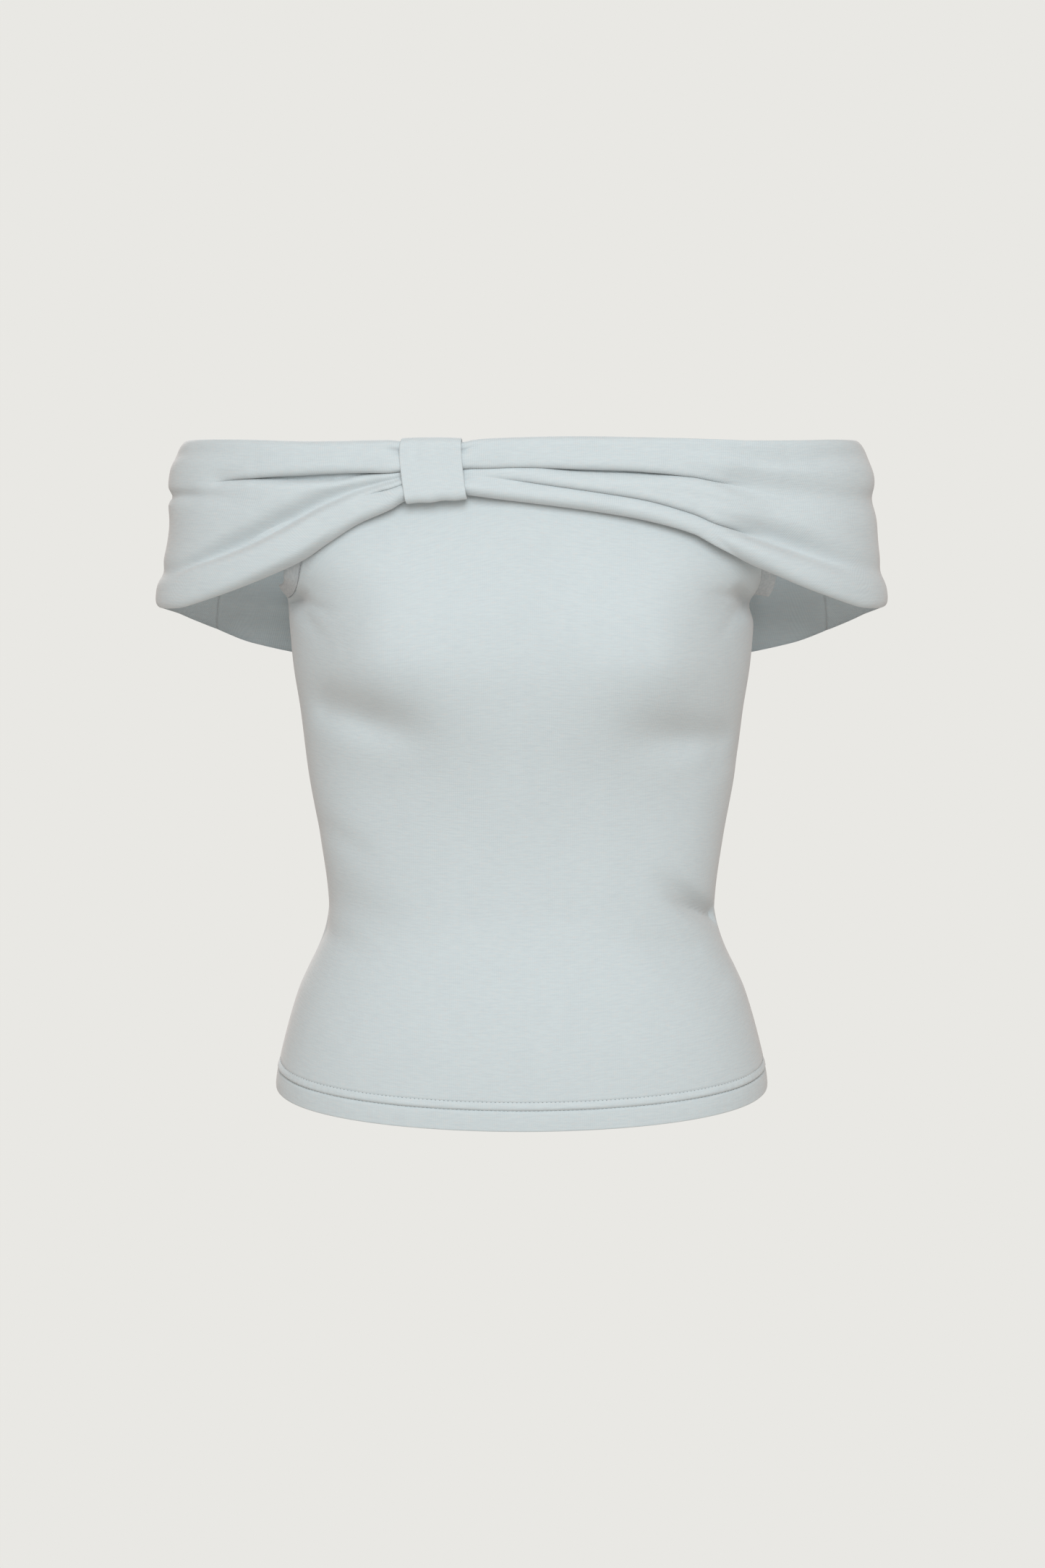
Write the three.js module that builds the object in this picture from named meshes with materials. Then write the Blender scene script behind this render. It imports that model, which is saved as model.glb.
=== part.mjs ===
// Women's off-shoulder top in jersey, size S, in the hollow form it has when it is worn.
// Millimetres, +Z up, front towards -Y, +X to the right of someone who looks at the front.
// The origin is on the middle line of the chest at underarm height.
import * as THREE from "three";

const { lerp, smoothstep, degToRad } = THREE.MathUtils;

// Driving sizes
const cloth = 1.2; // jersey wall of the body panels
const bandCloth = 2.4; // the shoulder band is folded double
const seamGap = 0.3; // between two pieces sewn together
const lieGap = 0.4; // between the band and the chest under it
const lieBlend = 1.6; // over which the band lifts off the chest
const hemDepth = 20; // turned-up hem
const hemExtra = 0.8; // how much the turned-up layer thickens the wall on the inside
const frontHem = -335; // hem height at the middle of the front
const sideHem = -320; // hem height at the side seams
const backHem = -324; // hem height at the middle of the back
const neckEdge = 94; // the body's top edge, under the band
const underarm = -5; // lowest point of the armhole
const neckHalf = 132; // half width of the body's top edge, between the armholes
const bandSquare = 2.2; // exponent of the band's rounded outline, seen from above
const seamTurn = 120; // where the front band is sewn to the back band, degrees round from the middle front
const plainTurn = 24; // how far from the loop the band's inside stays plain, in the same degrees
const followTurn = 52; // and from where it follows the folds
const seamHalfTurn = 0.07; // half the gap of that seam, in the same degrees
const knotTurn = -13.6; // middle of the loop, degrees round from the middle front
const knotHalfTurn = 4.9; // half the loop's width, in the same degrees
const loopCloth = 1.6; // the loop is a flat tube of jersey
const loopGap = 0.9; // clearance between the loop and the gathers it holds
const loopRound = 3.6; // how round the gathers are where the loop turns over them
const loopBelly = 0.5; // how much the loop swells between its two edges
const bindingWidth = 8.5; // armhole binding, finished
const bindingCloth = 1.8;

// Body sections, one row for each height. half is the half width at the side seam, front and back
// the depths before and behind it, and square the exponent of the rounded outline.
const bodySections = [
  { z: -350, half: 162, front: 101, back: 107, square: 2.25 },
  { z: -315, half: 160, front: 101, back: 106, square: 2.25 },
  { z: -287, half: 154, front: 99, back: 102, square: 2.25 },
  { z: -258, half: 145.5, front: 94, back: 94, square: 2.2 },
  { z: -244, half: 139.4, front: 90.5, back: 89.5, square: 2.2 },
  { z: -230, half: 132.6, front: 87, back: 84, square: 2.2 },
  { z: -216, half: 127.7, front: 84, back: 78.8, square: 2.2 },
  { z: -200, half: 125.4, front: 82, back: 75, square: 2.2 },
  { z: -160, half: 130.4, front: 83, back: 74, square: 2.2 },
  { z: -117, half: 138, front: 88, back: 79, square: 2.25 },
  { z: -75, half: 144, front: 94, back: 84, square: 2.3 },
  { z: -47, half: 148.5, front: 97, back: 87, square: 2.3 },
  { z: -20, half: 150, front: 97, back: 89, square: 2.3 },
  { z: 0, half: 152, front: 96, back: 90, square: 2.3 },
  { z: 20, half: 161, front: 94, back: 90, square: 2.35 },
  { z: 60, half: 171, front: 89, back: 88, square: 2.4 },
  { z: 100, half: 174, front: 84, back: 85, square: 2.4 },
];

// The shoulder band's inner face, one row for each height: it rounds the upper arms at half.
const bandSections = [
  { z: -60, half: 234.5, front: 104, back: 97 },
  { z: -10, half: 232, front: 103, back: 97 },
  { z: 8, half: 230, front: 101, back: 96.5 },
  { z: 30, half: 227.5, front: 98, back: 96 },
  { z: 60, half: 225.5, front: 93, back: 94 },
  { z: 80, half: 222.5, front: 90, back: 91 },
  { z: 92, half: 218, front: 88, back: 88.5 },
  { z: 102, half: 212.5, front: 86.5, back: 86 },
];

// The band's edges round the wearer, one row for each station, in degrees from the middle front.
// loft is how far the gathers stand off the inner face.
const bandEdges = [
  { turn: -180, top: 94, bottom: -52, loft: 0.4 },
  { turn: -150, top: 94.5, bottom: -48, loft: 0.5 },
  { turn: -120, top: 95.5, bottom: -32, loft: 0.8 },
  { turn: -104, top: 97, bottom: -17, loft: 1.6 },
  { turn: -90, top: 98.5, bottom: -9.5, loft: 2.4 },
  { turn: -76, top: 98.5, bottom: -9, loft: 2.8 },
  { turn: -66, top: 98.5, bottom: -7, loft: 3.2 },
  { turn: -52, top: 98.5, bottom: 2.8, loft: 5 },
  { turn: -39, top: 98.5, bottom: 19, loft: 7 },
  { turn: -29, top: 98.5, bottom: 36.5, loft: 7.4 },
  { turn: -23, top: 98.5, bottom: 48.5, loft: 7 },
  { turn: -18.5, top: 99, bottom: 57.5, loft: 6.4 },
  { turn: -13.6, top: 99.5, bottom: 60.5, loft: 6 },
  { turn: -8.7, top: 99.5, bottom: 61.5, loft: 6.4 },
  { turn: -3.5, top: 100, bottom: 58.8, loft: 6.8 },
  { turn: 5, top: 100.5, bottom: 54.3, loft: 7 },
  { turn: 12, top: 101, bottom: 50.5, loft: 7 },
  { turn: 21, top: 100.5, bottom: 44.5, loft: 7 },
  { turn: 32, top: 99, bottom: 30, loft: 7 },
  { turn: 41, top: 98, bottom: 16, loft: 6.4 },
  { turn: 52, top: 98, bottom: 2.5, loft: 5 },
  { turn: 66, top: 98.5, bottom: -7, loft: 3.2 },
  { turn: 76, top: 98.5, bottom: -8.8, loft: 2.8 },
  { turn: 90, top: 98.5, bottom: -9, loft: 2.4 },
  { turn: 104, top: 97, bottom: -17, loft: 1.6 },
  { turn: 120, top: 95.5, bottom: -32, loft: 0.8 },
  { turn: 150, top: 94.5, bottom: -48, loft: 0.5 },
  { turn: 180, top: 94, bottom: -52, loft: 0.4 },
];

// The two folds that run from the loop round both arms. at is the share of the band's height from
// its top, deep and reach are the fold's depth and half width, and soft is 0 for a crease, 1 for a trough.
const upperFold = [
  { turn: -180, at: 0.38, deep: 0, reach: 26, soft: 1 },
  { turn: -120, at: 0.36, deep: 0.6, reach: 26, soft: 1 },
  { turn: -90, at: 0.355, deep: 2, reach: 20, soft: 1 },
  { turn: -66, at: 0.345, deep: 2.2, reach: 20, soft: 1 },
  { turn: -54, at: 0.315, deep: 3.4, reach: 18, soft: 0.8 },
  { turn: -45, at: 0.29, deep: 5, reach: 14, soft: 0.3 },
  { turn: -36, at: 0.29, deep: 6.8, reach: 11, soft: 0 },
  { turn: -29, at: 0.315, deep: 7, reach: 9, soft: 0 },
  { turn: -23, at: 0.38, deep: 6.6, reach: 7, soft: 0 },
  { turn: -18.5, at: 0.5, deep: 6, reach: 5.5, soft: 0 },
  { turn: -13.6, at: 0.535, deep: 5.5, reach: 4.5, soft: 0 },
  { turn: -8.7, at: 0.535, deep: 5.8, reach: 5, soft: 0 },
  { turn: -3, at: 0.485, deep: 6.2, reach: 5.5, soft: 0 },
  { turn: 5, at: 0.45, deep: 6.5, reach: 7, soft: 0 },
  { turn: 12, at: 0.44, deep: 6.5, reach: 8, soft: 0 },
  { turn: 21, at: 0.41, deep: 6.5, reach: 9, soft: 0 },
  { turn: 28, at: 0.405, deep: 6, reach: 11, soft: 0.15 },
  { turn: 36, at: 0.39, deep: 5, reach: 14, soft: 0.6 },
  { turn: 46, at: 0.395, deep: 3.5, reach: 18, soft: 1 },
  { turn: 60, at: 0.41, deep: 2.2, reach: 22, soft: 1 },
  { turn: 90, at: 0.42, deep: 1.4, reach: 24, soft: 1 },
  { turn: 120, at: 0.42, deep: 0.4, reach: 26, soft: 1 },
  { turn: 180, at: 0.38, deep: 0, reach: 26, soft: 1 },
];
const lowerFold = [
  { turn: -180, at: 0.78, deep: 0, reach: 24, soft: 1 },
  { turn: -120, at: 0.79, deep: 0.6, reach: 22, soft: 1 },
  { turn: -90, at: 0.785, deep: 2.2, reach: 16, soft: 1 },
  { turn: -66, at: 0.78, deep: 2.6, reach: 18, soft: 1 },
  { turn: -52, at: 0.755, deep: 4, reach: 18, soft: 1 },
  { turn: -39, at: 0.715, deep: 5.2, reach: 16, soft: 0.9 },
  { turn: -29, at: 0.65, deep: 5.4, reach: 11, soft: 0.6 },
  { turn: -23, at: 0.63, deep: 5.2, reach: 7, soft: 0.3 },
  { turn: -18.5, at: 0.67, deep: 4.8, reach: 4.5, soft: 0 },
  { turn: -13.6, at: 0.67, deep: 4.5, reach: 3.5, soft: 0 },
  { turn: -8.7, at: 0.67, deep: 4.8, reach: 3.5, soft: 0 },
  { turn: -3, at: 0.668, deep: 5.2, reach: 4.5, soft: 0 },
  { turn: 5, at: 0.685, deep: 5.8, reach: 5.5, soft: 0 },
  { turn: 12, at: 0.715, deep: 6.2, reach: 6.5, soft: 0 },
  { turn: 21, at: 0.74, deep: 6.5, reach: 8, soft: 0 },
  { turn: 30, at: 0.76, deep: 6.5, reach: 10, soft: 0.1 },
  { turn: 39, at: 0.772, deep: 5.8, reach: 14, soft: 0.6 },
  { turn: 50, at: 0.783, deep: 4.2, reach: 17, soft: 1 },
  { turn: 66, at: 0.79, deep: 2.8, reach: 18, soft: 1 },
  { turn: 90, at: 0.795, deep: 2.2, reach: 16, soft: 1 },
  { turn: 120, at: 0.79, deep: 0.6, reach: 22, soft: 1 },
  { turn: 180, at: 0.78, deep: 0, reach: 24, soft: 1 },
];

// Troughs that the cut and the waist leave in the body. Each runs from one point of the front or
// back to another, in x and z, and half is its half width.
const bodyTroughs = [
  { side: "front", x0: 84, z0: -193, x1: 126, z1: -212, deep: 4.5, half: 8 },
  { side: "front", x0: 70, z0: -226, x1: 112, z1: -236, deep: 1.6, half: 9 },
  { side: "front", x0: -126, z0: -196, x1: -92, z1: -206, deep: 2.2, half: 12 },
  { side: "front", x0: 131, z0: 14, x1: 146, z1: -8, deep: 3, half: 6 },
  { side: "front", x0: -137, z0: 12, x1: -147, z1: -6, deep: 2.4, half: 6 },
  { side: "back", x0: -60, z0: -190, x1: 40, z1: -200, deep: 2.6, half: 11 },
  { side: "back", x0: 55, z0: -214, x1: 116, z1: -204, deep: 2.4, half: 10 },
  { side: "back", x0: -118, z0: -208, x1: -70, z1: -222, deep: 2, half: 9 },
];

// A smooth curve through one column of a table, as a function of another column.
function along(table, key, column) {
  const at = table.map((row) => row[key]);
  const value = table.map((row) => row[column]);
  const last = at.length - 1;
  const slope = value.map((_, i) => {
    const before = Math.max(i - 1, 0);
    const after = Math.min(i + 1, last);
    return (value[after] - value[before]) / (at[after] - at[before]);
  });
  return (wanted) => {
    const x = THREE.MathUtils.clamp(wanted, at[0], at[last]);
    let i = 0;
    while (i < last - 1 && x > at[i + 1]) i += 1;
    const width = at[i + 1] - at[i];
    const t = (x - at[i]) / width;
    const t2 = t * t;
    const t3 = t2 * t;
    return (
      (2 * t3 - 3 * t2 + 1) * value[i] +
      (t3 - 2 * t2 + t) * width * slope[i] +
      (3 * t2 - 2 * t3) * value[i + 1] +
      (t3 - t2) * width * slope[i + 1]
    );
  };
}

// Every column of a table at once, as an object of curves.
function curvesOf(table, key) {
  const columns = Object.keys(table[0]).filter((column) => column !== key);
  return Object.fromEntries(columns.map((column) => [column, along(table, key, column)]));
}

const body = curvesOf(bodySections, "z");
const band = curvesOf(bandSections, "z");
const edges = curvesOf(bandEdges, "turn");
const folds = [upperFold, lowerFold].map((table) => curvesOf(table, "turn"));

// Body panels

// The fullness that the bust gives the front: two rounded forms that the cloth spans between.
const bust = { x: 82, z: -36, deep: 22, inner: 100, outer: 44, above: 62, below: 38, span: 40 };

function bustFullness(x, z) {
  const across = Math.abs(x) - bust.x;
  const width = across < 0 ? bust.inner : bust.outer;
  const bridged = bust.below + bust.span * Math.exp(-((x / 55) ** 2));
  const height = z > bust.z ? bust.above : bridged;
  return bust.deep * Math.exp(-((across / width) ** 2) - ((z - bust.z) / height) ** 2);
}

function troughDepth(side, x, z) {
  let depth = 0;
  for (const t of bodyTroughs) {
    if (t.side !== side) continue;
    const dx = t.x1 - t.x0;
    const dz = t.z1 - t.z0;
    const share = THREE.MathUtils.clamp(((x - t.x0) * dx + (z - t.z0) * dz) / (dx * dx + dz * dz), 0, 1);
    const away = Math.hypot(x - t.x0 - share * dx, z - t.z0 - share * dz);
    depth += t.deep * Math.exp(-((away / t.half) ** 2));
  }
  return depth;
}

function bandInnerDepth(side, x, z) {
  const across = Math.min(1, Math.abs(x) / band.half(z));
  return band[side](z) * (1 - across ** bandSquare) ** (1 / bandSquare);
}

// How far the cloth stands in front of, or behind, the side seams at x and z.
function bodyDepth(side, x, z) {
  const square = body.square(z);
  const across = Math.min(1, Math.abs(x) / body.half(z));
  let depth = body[side](z) * (1 - across ** square) ** (1 / square);
  const seamFade = smoothstep(depth, 0, 25);
  if (side === "front") depth += bustFullness(x, z) * seamFade;
  depth -= troughDepth(side, x, z) * seamFade;
  const lifted = smoothstep(z, 20, neckEdge - 18) * smoothstep(depth, 0, 45);
  return lerp(depth, bandInnerDepth(side, x, z) - lieGap, lifted);
}

// The panel's boundary beside the middle line: up the side seam, then round the armhole.
// Returns the angle from the middle line, and the height.
const seamShare = 0.76; // the side seam's share of the way up the panel
const armholeSteps = 10;
const neckAngle = Math.asin(neckHalf / body.half(neckEdge));

function panelEdge(v, hem) {
  if (v <= seamShare) return { angle: Math.PI / 2, z: lerp(hem, underarm, v / seamShare) };
  const round = ((v - seamShare) / (1 - seamShare)) * (Math.PI / 2);
  const angle = lerp(Math.PI / 2, neckAngle, Math.sin(round) ** 1.15);
  return { angle, z: lerp(underarm, neckEdge, 1 - Math.cos(round) ** 1.1) };
}

function hemHeight(side, across) {
  const middle = side === "front" ? frontHem : backHem;
  return lerp(middle, sideHem, across * across);
}

// A point of the panel's outer face. u runs from -1 to 1 between the side seams, v from hem to neck.
function panelPoint(side, u, v, inward = 0) {
  const sign = side === "front" ? -1 : 1;
  const edge = panelEdge(v, hemHeight(side, 1));
  const beside = Math.abs(u);
  const angle = lerp(0, edge.angle, beside) * Math.sign(u);
  const middleZ = lerp(hemHeight(side, 0), neckEdge, v);
  const z = lerp(middleZ, edge.z, beside ** (v < seamShare ? 2 : 3));
  const half = body.half(z);
  const x = half * Math.sin(angle);
  const depth = bodyDepth(side, x, z);
  if (!inward) return new THREE.Vector3(x, sign * Math.max(depth, seamGap / 2), z);
  // The inner face: the same point moved in, square to the plan outline.
  const step = 0.5;
  const slope = (bodyDepth(side, x + step, z) - bodyDepth(side, x - step, z)) / (2 * step);
  const size = Math.hypot(1, slope);
  const nx = -slope / size;
  const ny = 1 / size;
  return new THREE.Vector3(x - nx * inward, sign * Math.max(depth - ny * inward, seamGap / 2), z);
}

const hemShare = hemDepth / (neckEdge - frontHem); // the hem's share of the way up the panel
const hemStep = 0.2; // how far above and below the hem's top the wall changes, in shares of the hem

function wallInward(v) {
  return cloth + hemExtra * (1 - smoothstep(v, hemShare * (1 - hemStep), hemShare * (1 + hemStep)));
}

// The rows up a panel: close together at the hem, so that the turned-up layer has its own step,
// and the same beside the armhole on both panels, because the binding follows them.
const armholeRows = Array.from({ length: armholeSteps + 1 }, (_, i) => lerp(seamShare, 1, i / armholeSteps));

function panelRows(sideSteps) {
  const rows = [0, hemShare * (1 - hemStep)];
  const aboveHem = hemShare * (1 + hemStep);
  for (let i = 0; i < sideSteps; i += 1) rows.push(lerp(aboveHem, seamShare, i / sideSteps));
  return [...rows, ...armholeRows];
}

function panel(side, columns, sideSteps) {
  const across = Array.from({ length: columns + 1 }, (_, i) => (2 * i) / columns - 1);
  const face = (wall) => panelRows(sideSteps).map((v) => across.map((u) => panelPoint(side, u, v, wall(v))));
  return shell(face(() => 0), face(wallInward));
}

// Shoulder band

function foldShape(x, reach, soft) {
  const near = Math.min(1, Math.abs(x) / reach);
  const crease = 1 - Math.sqrt(1 - (1 - near) ** 2);
  const trough = Math.exp(-((x / (0.62 * reach)) ** 2));
  return lerp(crease, trough, soft);
}

// Height of the cloth above the band's inner face, at a station and a share of the band's height.
function gatherHeight(turn, v) {
  const tall = edges.top(turn) - edges.bottom(turn);
  let height = edges.loft(turn);
  for (const fold of folds) {
    height -= fold.deep(turn) * foldShape((v - fold.at(turn)) * tall, fold.reach(turn), fold.soft(turn));
  }
  return Math.max(0.1, height);
}

function knotNearness(turn) {
  return 1 - smoothstep(Math.abs(turn - knotTurn), knotHalfTurn + 1, knotHalfTurn + 9);
}

// The larger of two distances, rounded over where they are alike.
function smoothMax(a, b, blend) {
  const near = Math.max(0, 1 - Math.abs(a - b) / blend);
  return Math.max(a, b) + (near * near * blend) / 4;
}

// A point at a distance out from the band's inner face.
function bandPoint(turn, v, out) {
  const angle = degToRad(turn);
  const z = lerp(edges.top(turn), edges.bottom(turn), v);
  const side = Math.cos(angle) > 0 ? "front" : "back";
  const sign = side === "front" ? -1 : 1;
  const half = band.half(z);
  const deep = band[side](z);
  const x = half * Math.sin(angle);
  let depth = bandInnerDepth(side, x, z);
  if (Math.abs(x) < body.half(z) * 0.97) {
    depth = smoothMax(depth, bodyDepth(side, x, z) + lieGap, lieBlend);
  }
  const nx = Math.sign(x) * Math.abs(x / half) ** (bandSquare - 1) * deep;
  const ny = (bandInnerDepth(side, x, z) / deep) ** (bandSquare - 1) * half;
  const size = Math.hypot(nx, ny);
  const room = (loopCloth + loopGap + seamGap) * knotNearness(turn);
  const off = out + room;
  return new THREE.Vector3(x + (nx / size) * off, sign * (depth + (ny / size) * off), z);
}

// The band's two edges are rolled: both faces close in on the middle of the wall there.
function edgeRoll(v, tall, loft) {
  const roll = Math.min(0.4, (2.2 + 0.35 * loft) / tall);
  const near = Math.min(1, Math.min(v, 1 - v) / roll);
  return lerp(0.3, 1, Math.sqrt(1 - (1 - near) ** 2));
}

function bandWall(turn, v) {
  const tall = edges.top(turn) - edges.bottom(turn);
  const height = gatherHeight(turn, v);
  // The inside is plain near the loop, and follows the folds on the arms.
  const inner = height * smoothstep(Math.abs(turn - knotTurn), plainTurn, followTurn);
  const outer = height + bandCloth;
  const middle = lerp(inner, outer, 0.45);
  const roll = edgeRoll(v, tall, edges.loft(turn));
  return { inner: lerp(middle, inner, roll), outer: lerp(middle, outer, roll) };
}

// Shares of the band's height for a station: rows over the upper, middle and lower roll,
// closer together at the folds between them.
const rollRows = [5, 4, 4];

function bandRows(turn) {
  const knots = [0, folds[0].at(turn), folds[1].at(turn), 1];
  const rows = [0];
  rollRows.forEach((count, segment) => {
    for (let i = 1; i <= count; i += 1) {
      const eased = (1 - Math.cos((Math.PI * i) / count)) / 2;
      rows.push(lerp(knots[segment], knots[segment + 1], lerp(i / count, eased, 0.8)));
    }
  });
  return rows;
}

function bandShell(turns) {
  const face = (name) =>
    turns.map((turn) => bandRows(turn).map((v) => bandPoint(turn, v, bandWall(turn, v)[name])));
  return shell(face("outer"), face("inner"));
}

function turnsBetween(from, to, stepNear, stepFar) {
  const turns = [from];
  while (turns[turns.length - 1] < to) {
    const turn = turns[turns.length - 1];
    const step = lerp(stepNear, stepFar, smoothstep(Math.abs(turn - knotTurn), 30, 75));
    turns.push(Math.min(to, turn + step));
  }
  return turns.map((turn) => (turn > 180 ? turn - 360 : turn));
}

// Loop round the gathers

// A rounded rectangle, as offset and height from its middle. share runs once round it.
function roundedOutline(share, halfOut, halfUp, radius) {
  const straightUp = halfUp - radius;
  const straightOut = halfOut - radius;
  const quarter = (Math.PI / 2) * radius;
  const lengths = [2 * straightUp, quarter, 2 * straightOut, quarter];
  const total = 2 * lengths.reduce((sum, length) => sum + length, 0);
  const flip = share < 0.5 ? 1 : -1;
  let left = (share % 0.5) * total;
  let segment = 0;
  while (segment < 3 && left > lengths[segment]) {
    left -= lengths[segment];
    segment += 1;
  }
  const turn = left / radius;
  const points = [
    [halfOut, -straightUp + left],
    [straightOut + radius * Math.cos(turn), straightUp + radius * Math.sin(turn)],
    [straightOut - left, halfUp],
    [-straightOut - radius * Math.sin(turn), straightUp + radius * Math.cos(turn)],
  ];
  return points[segment].map((value) => value * flip);
}

function loopGeometry(around, across) {
  const faces = [loopGap + loopCloth, loopGap].map((grow) => {
    const rings = [];
    for (let j = 0; j <= across; j += 1) {
      const share = j / across;
      const turn = knotTurn + lerp(-knotHalfTurn, knotHalfTurn, share);
      const belly = loopBelly * Math.sin(Math.PI * share);
      const halfThick = (bandCloth + edges.loft(turn)) / 2;
      const tall = edges.top(turn) - edges.bottom(turn);
      const ring = [];
      for (let i = 0; i < around; i += 1) {
        const [out, up] = roundedOutline(i / around, halfThick + grow, tall / 2 + grow, loopRound + grow);
        ring.push(bandPoint(turn, 0.5 - up / tall, halfThick + out + (out > 0 ? belly : 0)));
      }
      rings.push(ring);
    }
    return rings;
  });
  return shell(faces[0], faces[1], true);
}

// Armhole bindings

// The rows of the armhole's edge from the band down its front, under the arm, and up its back.
function armholeStations() {
  const rows = armholeRows.slice(0, -1);
  return [
    ...rows.map((v) => ({ side: "front", v })).reverse(),
    ...rows.slice(1).map((v) => ({ side: "back", v })),
  ];
}

// The binding's section: how far across it each point is, and how much of its thickness it has.
const bindingSection = [
  { at: 0, half: 1 },
  { at: 0.4, half: 1 },
  { at: 0.8, half: 1 },
  { at: 1, half: 0.5 },
];

function bindingGeometry(mirror) {
  const stations = armholeStations().map(({ side, v }) => {
    const outer = panelPoint(side, mirror, v);
    const inner = panelPoint(side, mirror, v, cloth);
    const inside = panelPoint(side, mirror * 0.96, v);
    return { wall: outer.clone().sub(inner).normalize(), away: outer.clone().sub(inside).normalize(),
      middle: outer.lerp(inner, 0.5) };
  });
  const faces = [1, -1].map((sign) =>
    stations.map(({ wall, away, middle }, i) => {
      const before = stations[Math.max(0, i - 1)].middle;
      const after = stations[Math.min(stations.length - 1, i + 1)].middle;
      const run = after.clone().sub(before).normalize();
      // It goes on in the panel's own surface, and upwards where it passes under the arm.
      const low = 1 - smoothstep(middle.z, underarm + 2, underarm + 30);
      const out = away.clone().lerp(new THREE.Vector3(0.5 * mirror, 0, 1).normalize(), low);
      out.addScaledVector(run, -out.dot(run)).normalize();
      return bindingSection.map(({ at, half }) =>
        middle
          .clone()
          .addScaledVector(out, seamGap + at * bindingWidth)
          .addScaledVector(wall, (sign * half * bindingCloth) / 2),
      );
    }),
  );
  return shell(faces[0], faces[1]);
}

// A closed wall between two grids of points. With wrap, each row closes on itself.
// It is turned inside out where its volume comes out negative.
function shell(outer, inner, wrap = false) {
  const rows = outer.length;
  const columns = outer[0].length;
  const points = [...outer.flat(), ...inner.flat()];
  const half = rows * columns;
  const at = (r, c) => r * columns + (c % columns);
  const faces = [];
  const quad = (a, b, c, d) => faces.push(a, b, c, a, c, d);
  const lastColumn = wrap ? columns : columns - 1;
  for (let r = 0; r < rows - 1; r += 1) {
    for (let c = 0; c < lastColumn; c += 1) {
      quad(at(r, c), at(r, c + 1), at(r + 1, c + 1), at(r + 1, c));
      quad(half + at(r, c), half + at(r + 1, c), half + at(r + 1, c + 1), half + at(r, c + 1));
    }
  }
  for (let c = 0; c < lastColumn; c += 1) {
    quad(at(0, c), half + at(0, c), half + at(0, c + 1), at(0, c + 1));
    quad(at(rows - 1, c), at(rows - 1, c + 1), half + at(rows - 1, c + 1), half + at(rows - 1, c));
  }
  for (let r = 0; r < rows - 1 && !wrap; r += 1) {
    const end = columns - 1;
    quad(at(r, 0), at(r + 1, 0), half + at(r + 1, 0), half + at(r, 0));
    quad(at(r, end), half + at(r, end), half + at(r + 1, end), at(r + 1, end));
  }
  let volume = 0;
  const cross = new THREE.Vector3();
  for (let i = 0; i < faces.length; i += 3) {
    const [a, b, c] = faces.slice(i, i + 3).map((index) => points[index]);
    volume += a.dot(cross.crossVectors(b, c));
  }
  if (volume < 0) faces.reverse();
  return new THREE.BufferGeometry().setFromPoints(points).setIndex(faces);
}

const jersey = new THREE.MeshStandardMaterial({ color: 0xc9d3d7, roughness: 0.92, metalness: 0 });
const top = new THREE.Group();

function add(name, geometry) {
  const mesh = new THREE.Mesh(geometry, jersey.clone());
  mesh.name = name;
  top.add(mesh);
}

const bandEnd = seamTurn - seamHalfTurn;
const backBandStart = seamTurn + seamHalfTurn;
add("front_panel", panel("front", 34, 22));
add("back_panel", panel("back", 28, 16));
add("front_band", bandShell(turnsBetween(-bandEnd, bandEnd, 2.8, 5.5)));
add("back_band", bandShell(turnsBetween(backBandStart, 360 - backBandStart, 5.5, 5.5)));
add("loop", loopGeometry(30, 5));
add("left_armhole_binding", bindingGeometry(-1));
add("right_armhole_binding", bindingGeometry(1));

export default top;
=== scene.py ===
# A women's off-shoulder jersey top in the hollow form it has when it is worn, in a plain pale studio.
import math
import bmesh
import bpy
import numpy as np
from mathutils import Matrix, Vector


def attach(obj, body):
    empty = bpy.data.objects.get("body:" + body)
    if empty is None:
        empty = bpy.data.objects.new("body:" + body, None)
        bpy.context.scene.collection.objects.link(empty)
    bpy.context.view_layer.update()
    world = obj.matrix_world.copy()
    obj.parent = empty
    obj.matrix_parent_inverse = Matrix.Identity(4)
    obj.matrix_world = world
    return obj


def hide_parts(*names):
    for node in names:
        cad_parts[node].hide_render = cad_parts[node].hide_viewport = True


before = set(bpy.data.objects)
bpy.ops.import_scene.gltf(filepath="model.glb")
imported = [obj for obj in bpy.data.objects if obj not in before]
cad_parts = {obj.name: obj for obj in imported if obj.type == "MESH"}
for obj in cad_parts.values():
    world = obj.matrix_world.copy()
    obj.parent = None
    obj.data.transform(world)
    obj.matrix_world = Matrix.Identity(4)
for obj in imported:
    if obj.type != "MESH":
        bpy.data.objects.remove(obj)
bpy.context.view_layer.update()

scene = bpy.context.scene
mm = 0.001  # tables and shape functions are in millimetres, meshes and materials in metres


def lerp(a, b, share):
    return a + (b - a) * share


def smoothstep(x, low, high):
    t = np.clip((x - low) / (high - low), 0, 1)
    return t * t * (3 - 2 * t)


def bell(x, half):
    return np.exp(-((x / half) ** 2))


# 0 at an edge and 1 from reach on, with a round nose between.
def roundNose(fromEdge, reach):
    near = np.clip(fromEdge / reach, 0, 1)
    return np.sqrt(1 - (1 - near) ** 2)


def smoothCurve(at, value):
    before = np.maximum(np.arange(len(at)) - 1, 0)
    after = np.minimum(np.arange(len(at)) + 1, len(at) - 1)
    slope = (value[after] - value[before]) / (at[after] - at[before])

    def curve(wanted):
        x = np.clip(wanted, at[0], at[-1])
        i = np.clip(np.searchsorted(at, x, side="right") - 1, 0, len(at) - 2)
        width = at[i + 1] - at[i]
        t = (x - at[i]) / width
        lean = (t**3 - 2 * t**2 + t) * slope[i] + (t**3 - t**2) * slope[i + 1]
        return lerp(value[i], value[i + 1], 3 * t**2 - 2 * t**3) + lean * width

    return curve


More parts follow.
